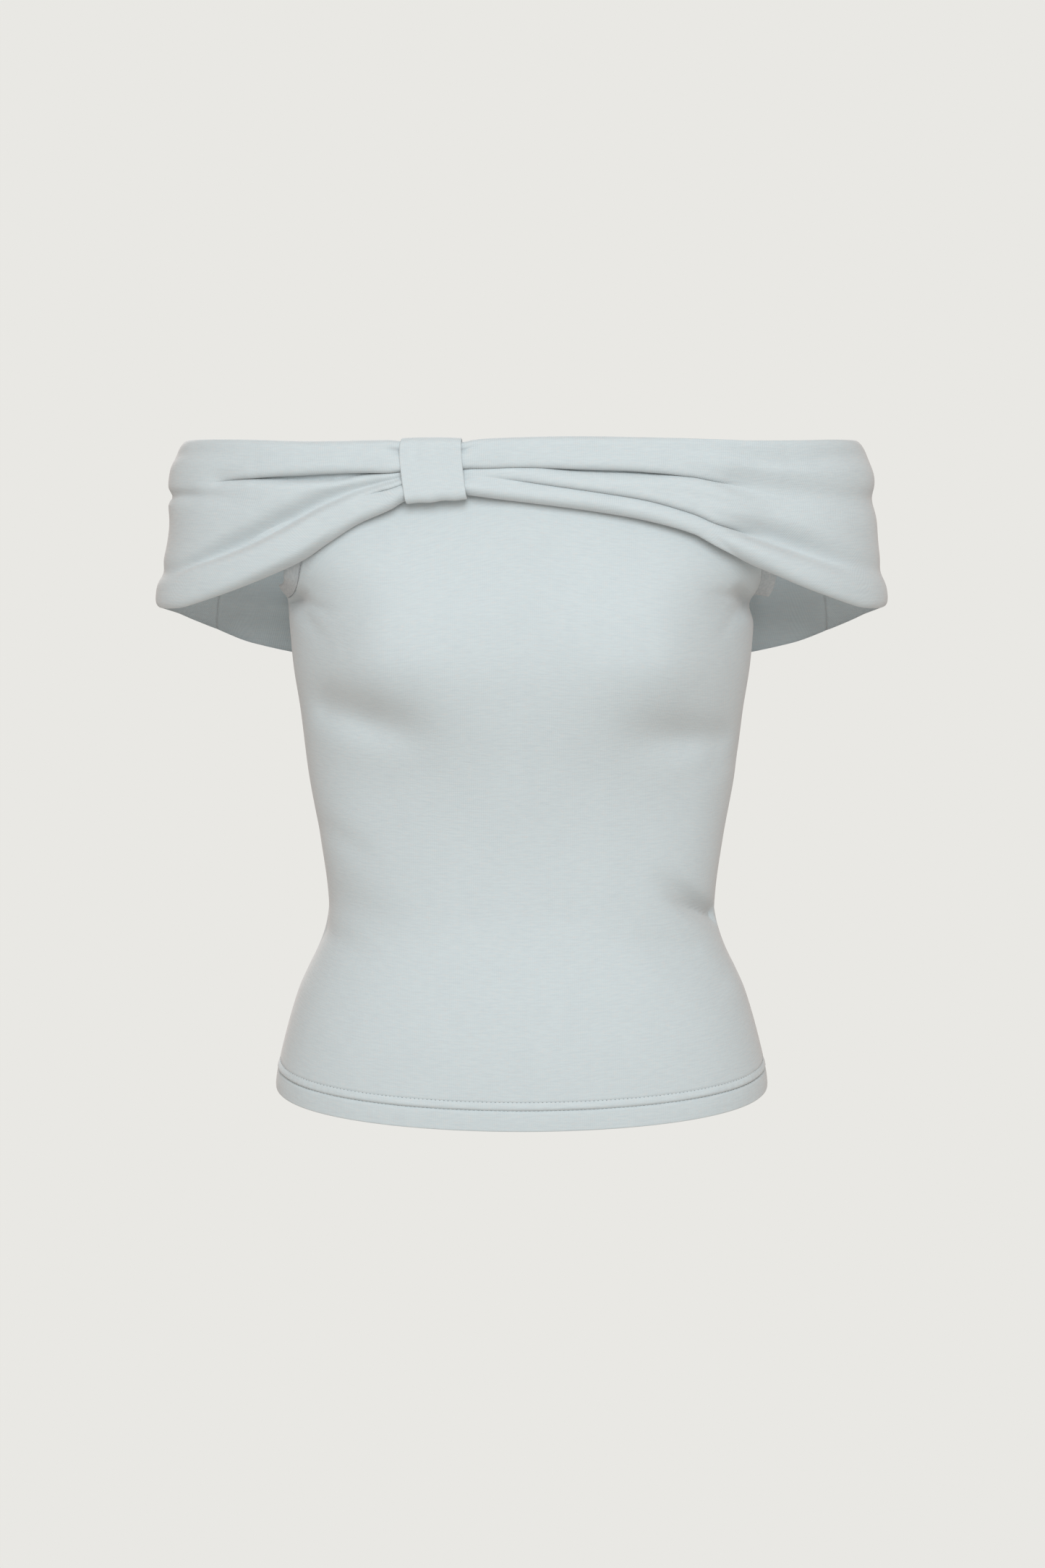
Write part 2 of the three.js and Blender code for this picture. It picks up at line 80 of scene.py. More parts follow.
# Each column of a table as a smooth curve along the table's first column.
def curvesOf(names, rows):
    table = np.array(rows, float)
    if names.startswith("turn") and table[-1, 0] - table[0, 0] == 360:
        # Right round: the rows beside the join go on past it, so the curves have no kink there.
        circle = np.eye(1, table.shape[1]) * 360
        table = np.concatenate([table[-2:-1] - circle, table, table[1:2] + circle])
    first, *others = table.T
    return {name: smoothCurve(first, column) for name, column in zip(names.split()[1:], others)}


# Distances run over a grid of points: along each row from its middle, and up from the first row.
def clothLengths(points):
    across = np.linalg.norm(np.diff(points, axis=1), axis=2)
    up = np.linalg.norm(np.diff(points, axis=0), axis=2)
    u = np.hstack([np.zeros((len(points), 1)), np.cumsum(across, axis=1)])
    v = np.vstack([np.zeros(points.shape[1]), np.cumsum(up, axis=0)])
    return u - u[:, [points.shape[1] // 2]], v


# Distance run along a line of points.
def runAlong(line):
    return np.concatenate([[0], np.cumsum(np.linalg.norm(np.diff(line, axis=0), axis=1))])


def linearColour(hexColour):
    channels = [int(hexColour[i : i + 2], 16) / 255 for i in (1, 3, 5)]
    return [c / 12.92 if c <= 0.04045 else ((c + 0.055) / 1.055) ** 2.4 for c in channels] + [1]


# kind is the node's type without its ShaderNode. A node among the inputs gives its first output.
def addNode(tree, kind, inputs=None, **settings):
    node = tree.nodes.new("ShaderNode" + kind)
    for name, value in settings.items():
        setattr(node, name, value)
    for socket, value in (inputs or {}).items():
        if isinstance(value, bpy.types.Node):
            value = value.outputs[0]
        if isinstance(value, bpy.types.NodeSocket):
            tree.links.new(value, node.inputs[socket])
        else:
            node.inputs[socket].default_value = value
    return node


def newMaterial(name):
    material = bpy.data.materials.new(name)
    material.use_nodes = True
    return material, material.node_tree, material.node_tree.nodes["Principled BSDF"]


# Viscose and elastane jersey, circular knitted, piece dyed and softened. The eye sees fine upright
# wales, short cross streaks of slub, and a matte face that pales a little where it turns away.
faceSide = {
    "colour": "#D0D8DA",
    "slubColour": "#CAD2D5",  # thicker stretches of yarn, a shade deeper
    "hollowShadeColour": "#A9B3B7",  # painted shade between the wales, where less light comes back
    "warmColour": "#D8D5D3",  # fibres that took the dye less
    "wale": 1.25,  # knit columns. The real 0.6 mm ones are too fine to show, so two are drawn as one
    "course": 1.0,  # knit rows, drawn as coarse for the same reason
    "knitRelief": 0.035,
    "hollowShade": 0.1,
    "slubLength": 9,
    "slubHeight": 1.2,
    "slubRelief": 0.05,
    "legs": 0.5,  # how far each stitch's two legs rise towards the sides of its wale, in courses
    "crossBars": 0.12,  # how strongly the rows show beside the wales
    "wander": (70, 25, 1),  # how quickly the wales wander, across and up the cloth
    "dyeScale": (260, 700, 1),
    "waleShadeScale": 38,
    "roughness": 0.92,
    "specular": 0.25,
    "nap": 0.34,
    "napRoughness": 0.5,
    # a painted reflection: warm light bounced onto the cloth's sides, shown as the sheen's tint
    "napWarmBounceColour": "#F5DDD3",
}
# The reverse of the same cloth: small cross bars in place of the wales, duller and a little deeper.
# The deeper colour is partly painted shade, for the inside faces, which lie in shade.
reverseSideAndShade = {
    **faceSide, "colour": "#C6D0D4", "slubColour": "#B8C2C7", "legs": -0.25, "crossBars": 0.9}
# The band's cloth is folded double and drawn over the gathers, which opens its wales.
bandSide = {**faceSide, "wale": 1.3, "knitRelief": 0.06, "hollowShade": 0.17}
# The loop is turned with its wales round the gathers, and pressed flat.
loopSide = {**faceSide, "knitRelief": 0.05, "hollowShade": 0.12, "slubLength": 6}
# Bindings are cut along the courses and stretched as they are sewn on, which greys them a little.
bindingSide = {
    **faceSide, "colour": "#C6CBCD", "slubColour": "#B4BABD", "slubLength": 5, "hollowShade": 0.3}


def viscoseJersey(name, side):
    material, tree, shader = newMaterial(name)
    place = addNode(tree, "UVMap", uv_map="knit")
    split = addNode(tree, "SeparateXYZ", {0: place})

    # Wales wander a little. away is 0 in the middle of a wale and 1 in the hollow beside it.
    drift = addNode(tree, "Mapping", {"Vector": place, "Scale": side["wander"]})
    drift = addNode(tree, "TexNoise", {"Vector": drift, "Scale": 1, "Detail": 1})
    wale = addNode(tree, "Math", {
        0: split.outputs[0], 1: 1 / (side["wale"] * mm), 2: drift}, operation="MULTIPLY_ADD")
    wale = addNode(tree, "Math", {0: wale}, operation="FRACT")
    wale = addNode(tree, "Math", {0: wale, 1: 2, 2: -1}, operation="MULTIPLY_ADD")
    away = addNode(tree, "Math", {0: wale}, operation="ABSOLUTE")
    hollow = addNode(tree, "Math", {0: away, 1: 2}, operation="POWER")
    row = addNode(tree, "Math", {0: away, 1: -side["legs"], 2: 0}, operation="MULTIPLY_ADD")
    row = addNode(tree, "Math", {
        0: split.outputs[1], 1: 1 / (side["course"] * mm), 2: row}, operation="MULTIPLY_ADD")
    row = addNode(tree, "Math", {0: row, 1: 2 * math.pi}, operation="MULTIPLY")
    row = addNode(tree, "Math", {0: row}, operation="COSINE")
    knit = addNode(tree, "Math", {0: row, 1: side["crossBars"], 2: 1}, operation="MULTIPLY_ADD")
    knit = addNode(tree, "Math", {0: knit, 1: hollow}, operation="SUBTRACT")

    # Slub is noise drawn out across the cloth, one course or so high.
    slub = addNode(tree, "Mapping", {
        "Vector": place, "Scale": (1 / (side["slubLength"] * mm), 1 / (side["slubHeight"] * mm), 1)})
    slub = addNode(tree, "TexNoise", {
        "Vector": slub, "Scale": 1, "Detail": 3, "Roughness": 0.65, "Distortion": 0.4})
    slub = addNode(tree, "MapRange", {"Value": slub, "From Min": 0.38, "From Max": 0.7})
    # Fibres that took the dye unevenly leave a fine melange, a little drawn out across the cloth.
    melange = addNode(tree, "Mapping", {"Vector": place, "Scale": side["dyeScale"]})
    melange = addNode(tree, "TexNoise", {"Vector": melange, "Scale": 1, "Detail": 3, "Roughness": 0.7})
    melange = addNode(tree, "MapRange", {
        "Value": melange, "From Min": 0.5, "From Max": 0.72, "To Max": 0.55})

    streaked = addNode(tree, "Mix", {
        0: slub, 6: linearColour(side["colour"]), 7: linearColour(side["slubColour"])},
        data_type="RGBA")
    mixed = addNode(tree, "Mix", {
        0: melange, 6: streaked.outputs[2], 7: linearColour(side["warmColour"])},
        data_type="RGBA")
    # Shade is painted into the hollows between the wales, more in some places than in others,
    # as the cloth is drawn or slack.
    drawn = addNode(tree, "TexNoise", {"Vector": place, "Scale": side["waleShadeScale"], "Detail": 1})
    drawn = addNode(tree, "MapRange", {
        "Value": drawn, "From Min": 0.4, "From Max": 0.65,
        "To Min": side["hollowShade"] * 0.4, "To Max": side["hollowShade"] * 1.3})
    shade = addNode(tree, "Math", {0: hollow, 1: drawn}, operation="MULTIPLY")
    paintedWaleShade = addNode(tree, "Mix", {
        0: shade, 6: mixed.outputs[2], 7: linearColour(side["hollowShadeColour"])}, data_type="RGBA")
    tree.links.new(paintedWaleShade.outputs[2], shader.inputs["Base Color"])

    height = addNode(tree, "Math", {
        0: slub, 1: side["slubRelief"] / side["knitRelief"], 2: knit},
        operation="MULTIPLY_ADD")
    bump = addNode(tree, "Bump", {"Height": height, "Distance": side["knitRelief"] * mm})
    tree.links.new(bump.outputs[0], shader.inputs["Normal"])
    shader.inputs["Roughness"].default_value = side["roughness"]
    shader.inputs["Specular IOR Level"].default_value = side["specular"]
    # The fine nap pales the cloth where it turns away; its warm tint there is a painted reflection
    # of warm light bounced onto the sides.
    shader.inputs["Sheen Weight"].default_value = side["nap"]
    shader.inputs["Sheen Roughness"].default_value = side["napRoughness"]
    shader.inputs["Sheen Tint"].default_value = linearColour(side["napWarmBounceColour"])
    return material


# Spun polyester sewing thread, dyed to match: round, a little smoother than the cloth, with the
# fine slanting lines of its two plies. Both its colours are set darker than the cloth's: painted
# shade where the stitches sink into their needle holes.
def spunThreadWithHoleShade():
    material, tree, shader = newMaterial("spun_polyester_thread_with_painted_hole_shade")
    place = addNode(tree, "UVMap", uv_map="knit")
    plies = addNode(tree, "TexWave", {
        "Vector": place, "Scale": 320, "Distortion": 1.5}, bands_direction="DIAGONAL")
    # Both colours are painted shade, darker than the cloth, for the needle holes the stitches sink
    # into.
    colour = addNode(tree, "Mix", {
        0: plies.outputs[1], 6: linearColour("#A9B0B2"), 7: linearColour("#878F92")}, data_type="RGBA")
    tree.links.new(colour.outputs[2], shader.inputs["Base Color"])
    shader.inputs["Roughness"].default_value = 0.62
    shader.inputs["Sheen Weight"].default_value = 0.3
    return material


skins = {
    "body": [viscoseJersey("viscose_jersey_circular_knit_face", faceSide),
             viscoseJersey("viscose_jersey_circular_knit_reverse_and_painted_shade", reverseSideAndShade)],
    "band": [viscoseJersey("viscose_jersey_folded_double_face", bandSide),
             viscoseJersey("viscose_jersey_folded_double_inside", bandSide)],
    "loop": [viscoseJersey("viscose_jersey_pressed_loop", loopSide)] * 2,
    "binding": [viscoseJersey("viscose_jersey_stretched_binding", bindingSide)] * 2,
}
thread = spunThreadWithHoleShade()
print("materials made")


# places are the points' places on the cloth, one for each corner of each face.
def knitMesh(name, points, faces, places, materials):
    mesh = bpy.data.meshes.new(name)
    mesh.from_pydata(points.tolist(), [], faces)
    mesh.uv_layers.new(name="knit").data.foreach_set("uv", places.ravel())
    for material in materials:
        mesh.materials.append(material)
    return mesh


# A closed cloth wall between two grids of points, with a UV map in metres along courses and wales.
# With tube, each row closes on itself.
def clothWall(name, outer, inner, lengths, materials, tube=False):
    rows, columns = outer.shape[:2]
    points = np.concatenate([outer.reshape(-1, 3), inner.reshape(-1, 3)]) * mm
    places = np.tile(np.stack(lengths, axis=2).reshape(-1, 2), (2, 1)) * mm
    out = np.arange(rows * columns).reshape(rows, columns)
    back = out + rows * columns

    def strip(a, b, c, d):
        return np.stack([a, b, c, d], axis=-1).reshape(-1, 4)

    parts = [
        strip(out[:-1, :-1], out[:-1, 1:], out[1:, 1:], out[1:, :-1]),
        strip(back[:-1, :-1], back[1:, :-1], back[1:, 1:], back[:-1, 1:]),
        strip(out[0, :-1], back[0, :-1], back[0, 1:], out[0, 1:]),
        strip(out[-1, :-1], out[-1, 1:], back[-1, 1:], back[-1, :-1]),
    ]
    if not tube:
        parts.append(strip(out[:-1, 0], out[1:, 0], back[1:, 0], back[:-1, 0]))
        parts.append(strip(out[:-1, -1], back[:-1, -1], back[1:, -1], out[1:, -1]))
    faces = np.concatenate(parts)
    corner = points[faces]
    volume = np.sum(corner[:, 0] * np.cross(corner[:, 1], corner[:, 2]))
    volume += np.sum(corner[:, 0] * np.cross(corner[:, 2], corner[:, 3]))
    if volume < 0:
        faces = faces[:, ::-1]
    mesh = knitMesh(name, points, faces.tolist(), places[faces.ravel()], materials)
    inside = np.zeros(len(faces), int)
    inside[len(parts[0]) : len(parts[0]) + len(parts[1])] = 1
    mesh.polygons.foreach_set("material_index", inside)
    smooth = np.ones(len(faces), bool)
    smooth[sum(len(part) for part in parts[:4]) :] = False  # the flat ends where it is sewn on
    mesh.polygons.foreach_set("use_smooth", smooth)
    if tube:
        joined = bmesh.new()
        joined.from_mesh(mesh)
        bmesh.ops.remove_doubles(joined, verts=joined.verts, dist=1e-6)
        joined.to_mesh(mesh)
        joined.free()
    return addPiece(name, mesh)


def addPiece(name, mesh):
    piece = bpy.data.objects.new(name, mesh)
    scene.collection.objects.link(piece)
    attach(piece, "root")
    return piece


def wallArea(piece):
    return sum(face.area for face in piece.data.polygons) / 2


# Body panels

bodyForm = curvesOf("z half front back square", [
    (-350, 162, 101, 107, 2.25),
    (-315, 160, 101, 106, 2.25),
    (-287, 154, 99, 102, 2.25),
    (-258, 145.5, 94, 94, 2.2),
    (-244, 139.4, 90.5, 89.5, 2.2),
    (-230, 132.6, 87, 84, 2.2),
    (-216, 127.7, 84, 78.8, 2.2),
    (-200, 125.4, 82, 75, 2.3),
    (-160, 130.4, 83, 74, 2.35),
    (-117, 138, 88, 79, 2.4),
    (-75, 143.2, 94, 84, 2.45),
    (-47, 147.5, 97, 87, 2.45),
    (-20, 150, 97, 89, 2.45),
    (0, 152, 96, 90, 2.5),
    (20, 161, 94, 90, 2.55),
    (60, 171, 89, 88, 2.55),
    (100, 174, 84, 85, 2.5),
])

panels = {
    "cloth": 1.2,
    "seamGap": 0.06,
    "neckEdge": 94,
    "neckHalf": 132,
    "underarm": -2,
    "seamShare": 0.76,  # the side seam's share of the way up
    "hollowing": {"front": (0.62, 1.5), "back": (0.88, 0.88)},  # of the left and right armholes
    "armholeCurve": 1.1,
    "hemCurve": 1.75,  # how late its rows bend on their way to the side seam
    "neckCurve": 3,  # and higher up, to the armhole
    "seamFade": 25,  # near the side seams, the bust and the troughs fade out
    "lift": (-12, 62),  # the heights between which it comes to lie under the band
    "liftDepth": 45,
    "pinch": {"deep": 3.6, "z": -7, "half": 8, "across": (105, 148)},  # the right underarm, drawn in
    "sideHem": -320,
    "middleHem": {"front": -335, "back": -324},
    "columns": {"front": 248, "back": 210},
    "rowStep": 2.8,
    "hemExtra": 0.8,  # how much the turned-up layer thickens the wall
    "hemDepth": 20,
    "stitchRows": (13.2, 18.6),  # the cover stitch's two needle rows, up from the hem
    "seamPull": 1.1,  # how deep the side seams draw the cloth in
    "insideRelief": 0.3,  # the most that the inside stands out with the face
    "leastWall": 0.05,  # the share of the wall that is left at its rounded edge
}

# Bulges and grooves along the hem: how far each stands out, what its unevenness and its puckering at
# the stitches add to that, its height above the fold, and its half width.
hemForm = [
    (0, 0.8, 0.14, 15.5, 1.9),
    (-1.15, -0.15, 0, 13.2, 0.6),
    (-0.5, 0, 0, 18.6, 0.55),
    (0, 0.3, 0.05, 7, 4.5),
]

# Fullness over the bust, which the cloth spans in one between the two sides.
bust = {
    "x": 82, "z": -36, "deep": 22, "inner": 100, "outer": 44, "above": 62, "below": 38,
    "span": 40,  # how much further down it reaches in the middle
    "spanHalf": 55,
}

# Soft troughs of the waist, underarms and bust: from x0, z0 to x1, z1, how deep, and their half width.
troughs = {
    "front": [
        (80, -174, 130, -212, 10, 7),
        (62, -218, 128, -246, 3, 9),
        (-70, -206, -128, -194, 2.6, 13),
        (132, 7, 147, -3, 12, 4.2),
        (-134, 4, -147, -4, 12, 4.2),
        (52, -84, 124, -92, 10, 14),
        (50, -116, 126, -126, 6, 34),
        (-44, -92, -122, -70, 10.5, 14),
        (-46, -120, -124, -112, 5, 34),
    ],
    "back": [
        (-20, -198, -72, -190, 3.2, 11),
        (20, -206, 112, -200, 3.4, 10),
        (-52, -226, -124, -206, 2.8, 9),
    ],
}
# Slighter ones, which only the cloth itself shows.
creases = {
    "front": [
        (84, -188, 126, -209, 4.4, 4),
        (56, -212, 110, -226, 0.9, 5),
        (108, 2, 140, 0, 1.6, 4),
        (118, -32, 142, -6, 1.2, 5),
        (-112, -12, -142, -3, 1.6, 4),
        (-118, -34, -143, -7, 1.4, 5),
        (-84, -172, -124, -150, 1.2, 8),
        (-78, -236, -128, -218, 1.2, 8),
        (92, -122, 134, -106, 1.2, 9),
    ],
    "back": [
        (-14, -188, -100, -170, 1.8, 7),
        (4, -180, 104, -164, 1.6, 7),
        (40, -222, -46, -214, 1.8, 7),
        (-104, -22, -146, -2, 2.6, 5),
        (100, -24, 146, -2, 2.4, 5),
        (-96, 18, -140, 6, 1.6, 6),
        (92, 14, 140, 4, 1.5, 6),
        (60, -66, -70, -60, 1.0, 12),
    ],
}


# Each runs from nothing at x0, z0 to its full depth at x1, z1.
def troughDepth(rows, x, z):
    depth = 0
    for x0, z0, x1, z1, deep, half in rows:
        dx, dz = x1 - x0, z1 - z0
        share = np.clip(((x - x0) * dx + (z - z0) * dz) / (dx * dx + dz * dz), 0, 1)
        away = np.hypot(x - x0 - share * dx, z - z0 - share * dz)
        depth = depth + deep * smoothstep(share, 0, 0.75) * bell(away, half)
    return depth


def bustFullness(x, z):
    across = np.abs(x) - bust["x"]
    width = np.where(across < 0, bust["inner"], bust["outer"])
    below = bust["below"] + bust["span"] * bell(x, bust["spanHalf"])
    height = np.where(z > bust["z"], bust["above"], below)
    return bust["deep"] * bell(across, width) * bell(z - bust["z"], height)


def roundedDepth(deep, across, square):
    return deep * (1 - np.minimum(1, np.abs(across)) ** square) ** (1 / square)


# How far the cloth stands before or behind the side seams at x and z.
def bodyDepth(side, x, z):
    depth = roundedDepth(bodyForm[side](z), x / bodyForm["half"](z), bodyForm["square"](z))
    seamFade = smoothstep(depth, 0, panels["seamFade"])
    if side == "front":
        depth = depth + bustFullness(x, z) * seamFade
    depth = depth - troughDepth(troughs[side], x, z) * seamFade
    lifted = smoothstep(z, *panels["lift"]) * smoothstep(depth, 0, panels["liftDepth"])
    underBand = roundedDepth(bandForm[side](z), x / bandForm["half"](z), band["square"])
    return lerp(depth, underBand - band["lieGap"], lifted)


# The panel's boundary beside the middle line: up the side seam, then round the armhole, which is
# hollowed out more the lower hollowing is.
def panelEdge(v, hollowing):
    neckAngle = math.asin(panels["neckHalf"] / bodyForm["half"](panels["neckEdge"]))
    rounded = np.clip((v - panels["seamShare"]) / (1 - panels["seamShare"]), 0, 1) * math.pi / 2
    angle = lerp(math.pi / 2, neckAngle, np.sin(rounded) ** hollowing)
    upArmhole = 1 - np.maximum(np.cos(rounded), 0) ** panels["armholeCurve"]
    onArmhole = lerp(panels["underarm"], panels["neckEdge"], upArmhole)
    onSeam = lerp(panels["sideHem"], panels["underarm"], v / panels["seamShare"])
    return angle, np.where(v <= panels["seamShare"], onSeam, onArmhole)


# A point of the panel's face, or that far inside it. u is -1 to 1 between the side seams, v 0 to 1
# from hem to neck.
def panelPoint(side, u, v, inward=0):
    sign = -1 if side == "front" else 1
    edgeAngle, edgeZ = panelEdge(v, np.where(u < 0, *panels["hollowing"][side]))
    middleZ = lerp(panels["middleHem"][side], panels["neckEdge"], v)
    bend = np.where(v < panels["seamShare"], panels["hemCurve"], panels["neckCurve"])
    z = lerp(middleZ, edgeZ, np.abs(u) ** bend)
    x = bodyForm["half"](z) * np.sin(edgeAngle * u)
    depth = bodyDepth(side, x, z)
    slope = bodyDepth(side, x + 0.5, z) - bodyDepth(side, x - 0.5, z)
    size = np.hypot(1, slope)
    y = np.maximum(depth - inward / size, panels["seamGap"] / 2)
    pinch = panels["pinch"]
    drawnIn = pinch["deep"] * bell(z - pinch["z"], pinch["half"]) * smoothstep(x, *pinch["across"])
    return np.stack(np.broadcast_arrays(x + slope / size * inward - drawnIn, sign * y, z), axis=-1)


stitch = {"pitch": 2.7, "long": 2, "short": 1.1, "thick": 0.5, "sides": 6, "rings": 5}


# Rows up a panel, as distances from the hem: close together at the fold and at each stitch row.
def panelRows(side):
    tall = panels["neckEdge"] - panels["middleHem"][side]
    hem = [0, 0.12, 0.4, 0.8, 1.3, 2, 3.2, 4.6, 6.2, 7.8, 9.4, 10.8, 11.8, 12.5, 12.9, 13.2, 13.5, 13.9,
           14.6, 15.5, 16.5, 17.4, 18, 18.35, 18.6, 18.9, 19.3, 20, 21, 22.4]
    above = np.arange(24.4, tall - 1, panels["rowStep"])
    return np.concatenate([hem, above, [tall]]) / tall


# What sewing and wear add to the plain form, outwards: the hem's roll between its two stitch rows,
# the side seams' pull, and the slighter creases.
def panelRelief(side, points, along, fromHem, fromSeam):
    uneven = 1 + 0.25 * np.sin(along / 17) + 0.2 * np.sin(along / 6.1 + 1.3)
    pucker = np.sin(along * math.pi / stitch["pitch"] + 1.1 * np.sin(along / 9))
    relief = 0
    for out, unevenOut, puckerOut, at, half in hemForm:
        relief = relief + (out + unevenOut * uneven + puckerOut * pucker) * bell(fromHem - at, half)
    relief = relief * smoothstep(fromSeam, -4, 12)
    relief = relief - panels["seamPull"] * bell(fromSeam, 1.5) + 0.25 * bell(fromSeam - 4, 2)
    fade = smoothstep(fromSeam, 1, 9)
    return relief - troughDepth(creases[side], points[..., 0], points[..., 2]) * fade


def panelCloth(side):
    v = panelRows(side)[:, None]
    u = np.linspace(-1, 1, panels["columns"][side] + 1)[None, :]
    plain = panelPoint(side, u, v)
    along, up = clothLengths(plain)
    fromSeam = np.minimum(along - along[:, :1], along[:, -1:] - along)
    relief = panelRelief(side, plain, along, up, fromSeam)
    hem = 1 - smoothstep(up, panels["hemDepth"] * 0.9, panels["hemDepth"] * 1.1)
    wall = panels["cloth"] + panels["hemExtra"] * hem
    closing = lerp(panels["leastWall"], 1, roundNose(up, wall / 2))
    outer = panelPoint(side, u, v, -relief + (1 - closing) * wall / 2)
    insideRelief = np.minimum(relief, panels["insideRelief"])
    inner = panelPoint(side, u, v, -insideRelief + (1 + closing) * wall / 2)
    piece = clothWall(f"{side}_panel_cloth", outer, inner, (along, up), skins["body"])
    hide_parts(f"{side}_panel")
    return piece, outer


# Band

bandForm = curvesOf("z half front back", [
    (-60, 234.5, 104, 97),
    (-10, 232, 103, 97),
    (8, 230.3, 101, 96.5),
    (30, 225.4, 98, 96),
    (60, 223.6, 93, 94),
    (80, 221.5, 90, 91),
    (92, 217, 88, 88.5),
    (102, 208.5, 86.5, 86),
])

# turn is in degrees round the wearer from the middle of the front. loft is how far the gathers
# stand off the band's inner face.
bandEdges = curvesOf("turn top bottom loft", [
    (-180, 94, -52, 2.4),
    (-170, 94, -51.6, 2.4),
    (-150, 94.5, -47.5, 2.6),
    (-130, 95, -35, 2.6),
    (-120, 95.5, -25.2, 2.6),
    (-112, 96.2, -18.6, 2.6),
    (-104, 97, -13.4, 2.6),
    (-90, 98.2, -9.5, 2.6),
    (-76, 98.5, -9, 2.8),
    (-66, 98.5, -7, 3.2),
    (-52, 98, 3.4, 5),
    (-39, 96.9, 20, 7),
    (-32, 97, 34.3, 7.4),
    (-27, 97.3, 45, 7.2),
    (-22.5, 97.4, 52, 7),
    (-20.8, 96.9, 54.9, 6.9),
    (-19, 96, 59, 6.6),
    (-17.5, 95.8, 60.8, 6.2),
    (-14.2, 95.6, 62, 6),
    (-10.8, 95.8, 63, 6.2),
    (-9.4, 96.3, 63.3, 6.3),
    (-7.8, 97.6, 62.8, 6.5),
    (-3.5, 98.7, 60.6, 6.8),
    (5, 99.6, 56.5, 7),
    (12, 99.7, 52.8, 7),
    (20, 99.2, 47.4, 7),
    (28, 98.6, 39.2, 7),
    (32, 98.2, 31.8, 7),
    (37, 97.7, 23.6, 6.8),
    (41, 97.3, 17.4, 6.4),
    (52, 97.6, 3.6, 5),
    (66, 98.4, -7, 3.2),
    (76, 98.5, -8.8, 2.8),
    (90, 98.2, -9, 2.6),
    (104, 97, -13.6, 2.6),
    (112, 96.2, -19.2, 2.6),
    (120, 95.5, -26, 2.6),
    (130, 95, -35.2, 2.6),
    (150, 94.5, -47.5, 2.6),
    (170, 94, -51.6, 2.4),
    (180, 94, -52, 2.4),
])

band = {
    "cloth": 2.4,  # folded double
    "square": 2.2,
    "lieGap": 0.4,
    "lieBlend": 1.6,
    "noChest": 500,  # far inside, for the turns where no chest lies under it
    "chestShare": 0.97,  # how far towards the side seams the chest counts
    "seamTurn": 120,  # where the front and back bands are sewn together
    "seamPull": 1.2,
    "seamRidge": 1.8,
    "thinnest": 0.15,
    "armRoom": 7,  # how much deeper the folds may go beyond the chest
    "armTurns": (30, 40),  # where the chest ends
    "upperShare": 0.45,  # where its rolled edges meet, from the inner to the outer face
    "lowerShare": 0.16,
    "rollReach": 2.2,
    "rollLoft": 0.35,  # what each millimetre of loft adds to that reach
    "rollMost": 0.3,  # of its height
    "lowerRoll": 0.75,  # below 1, for a longer roll
    "leastWall": 0.04,
    "curlShare": 0.92,  # of the room before the chest, for the curled edge
    "bunching": 0.86,  # how closely the rows crowd together
    "shortAt": -19.5,  # there they follow the short fold instead of the lower one
    "shortHalf": 5,
    "middleHeight": 60.0,
    "tuckReach": 2,
    "plump": 1.12,  # the gathers' loft against the solid's
    "plainTurn": 24,  # the inside is plain as far from the loop as this, and follows the folds from
    "followTurn": 52,  # this far
    "step": 2.3,
    "lipTurn": math.radians(128),  # how far the cloth turns over at a sharp fold
}

loop = {
    "turn": -13.6,
    "halfTurn": 4.9,
    "topHalfTurn": 5.15,
    "topLean": -1.45,
    "clearTurns": (1, 9),  # beyond its sides, where the band makes room for its back
    "cloth": 1.6,
    "gap": 0.9,
    "round": 3.6,
    "belly": 0.6,
    "around": 200,
    "top": 96.1,  # of the gathers that it holds
    "bottoms": (60.2, 63.1),  # the same at its left and right edges
    "topArch": 0.5,
    "bottomWave": 0.35,
    "dent": 0.7,  # a shallow fold to the left of its middle
    "dentAt": -0.45,
    "dentHalf": 0.16,
    "wave": 0.18,
    "leastWall": 0.06,
}

# Folds that run from the loop: at is the share of the band's height from its top, deep the depth,
# above and below how far it reaches, soft 0 for a sharp overlapping fold and 1, or left out, for a
# trough, and gap how wide a sharp fold stands open.
folds = []


def addFold(rows):
    columns = "turn at deep above below soft gap".split()
    folds.append(curvesOf(" ".join(columns[: len(rows[0])]), rows))
    return folds[-1]


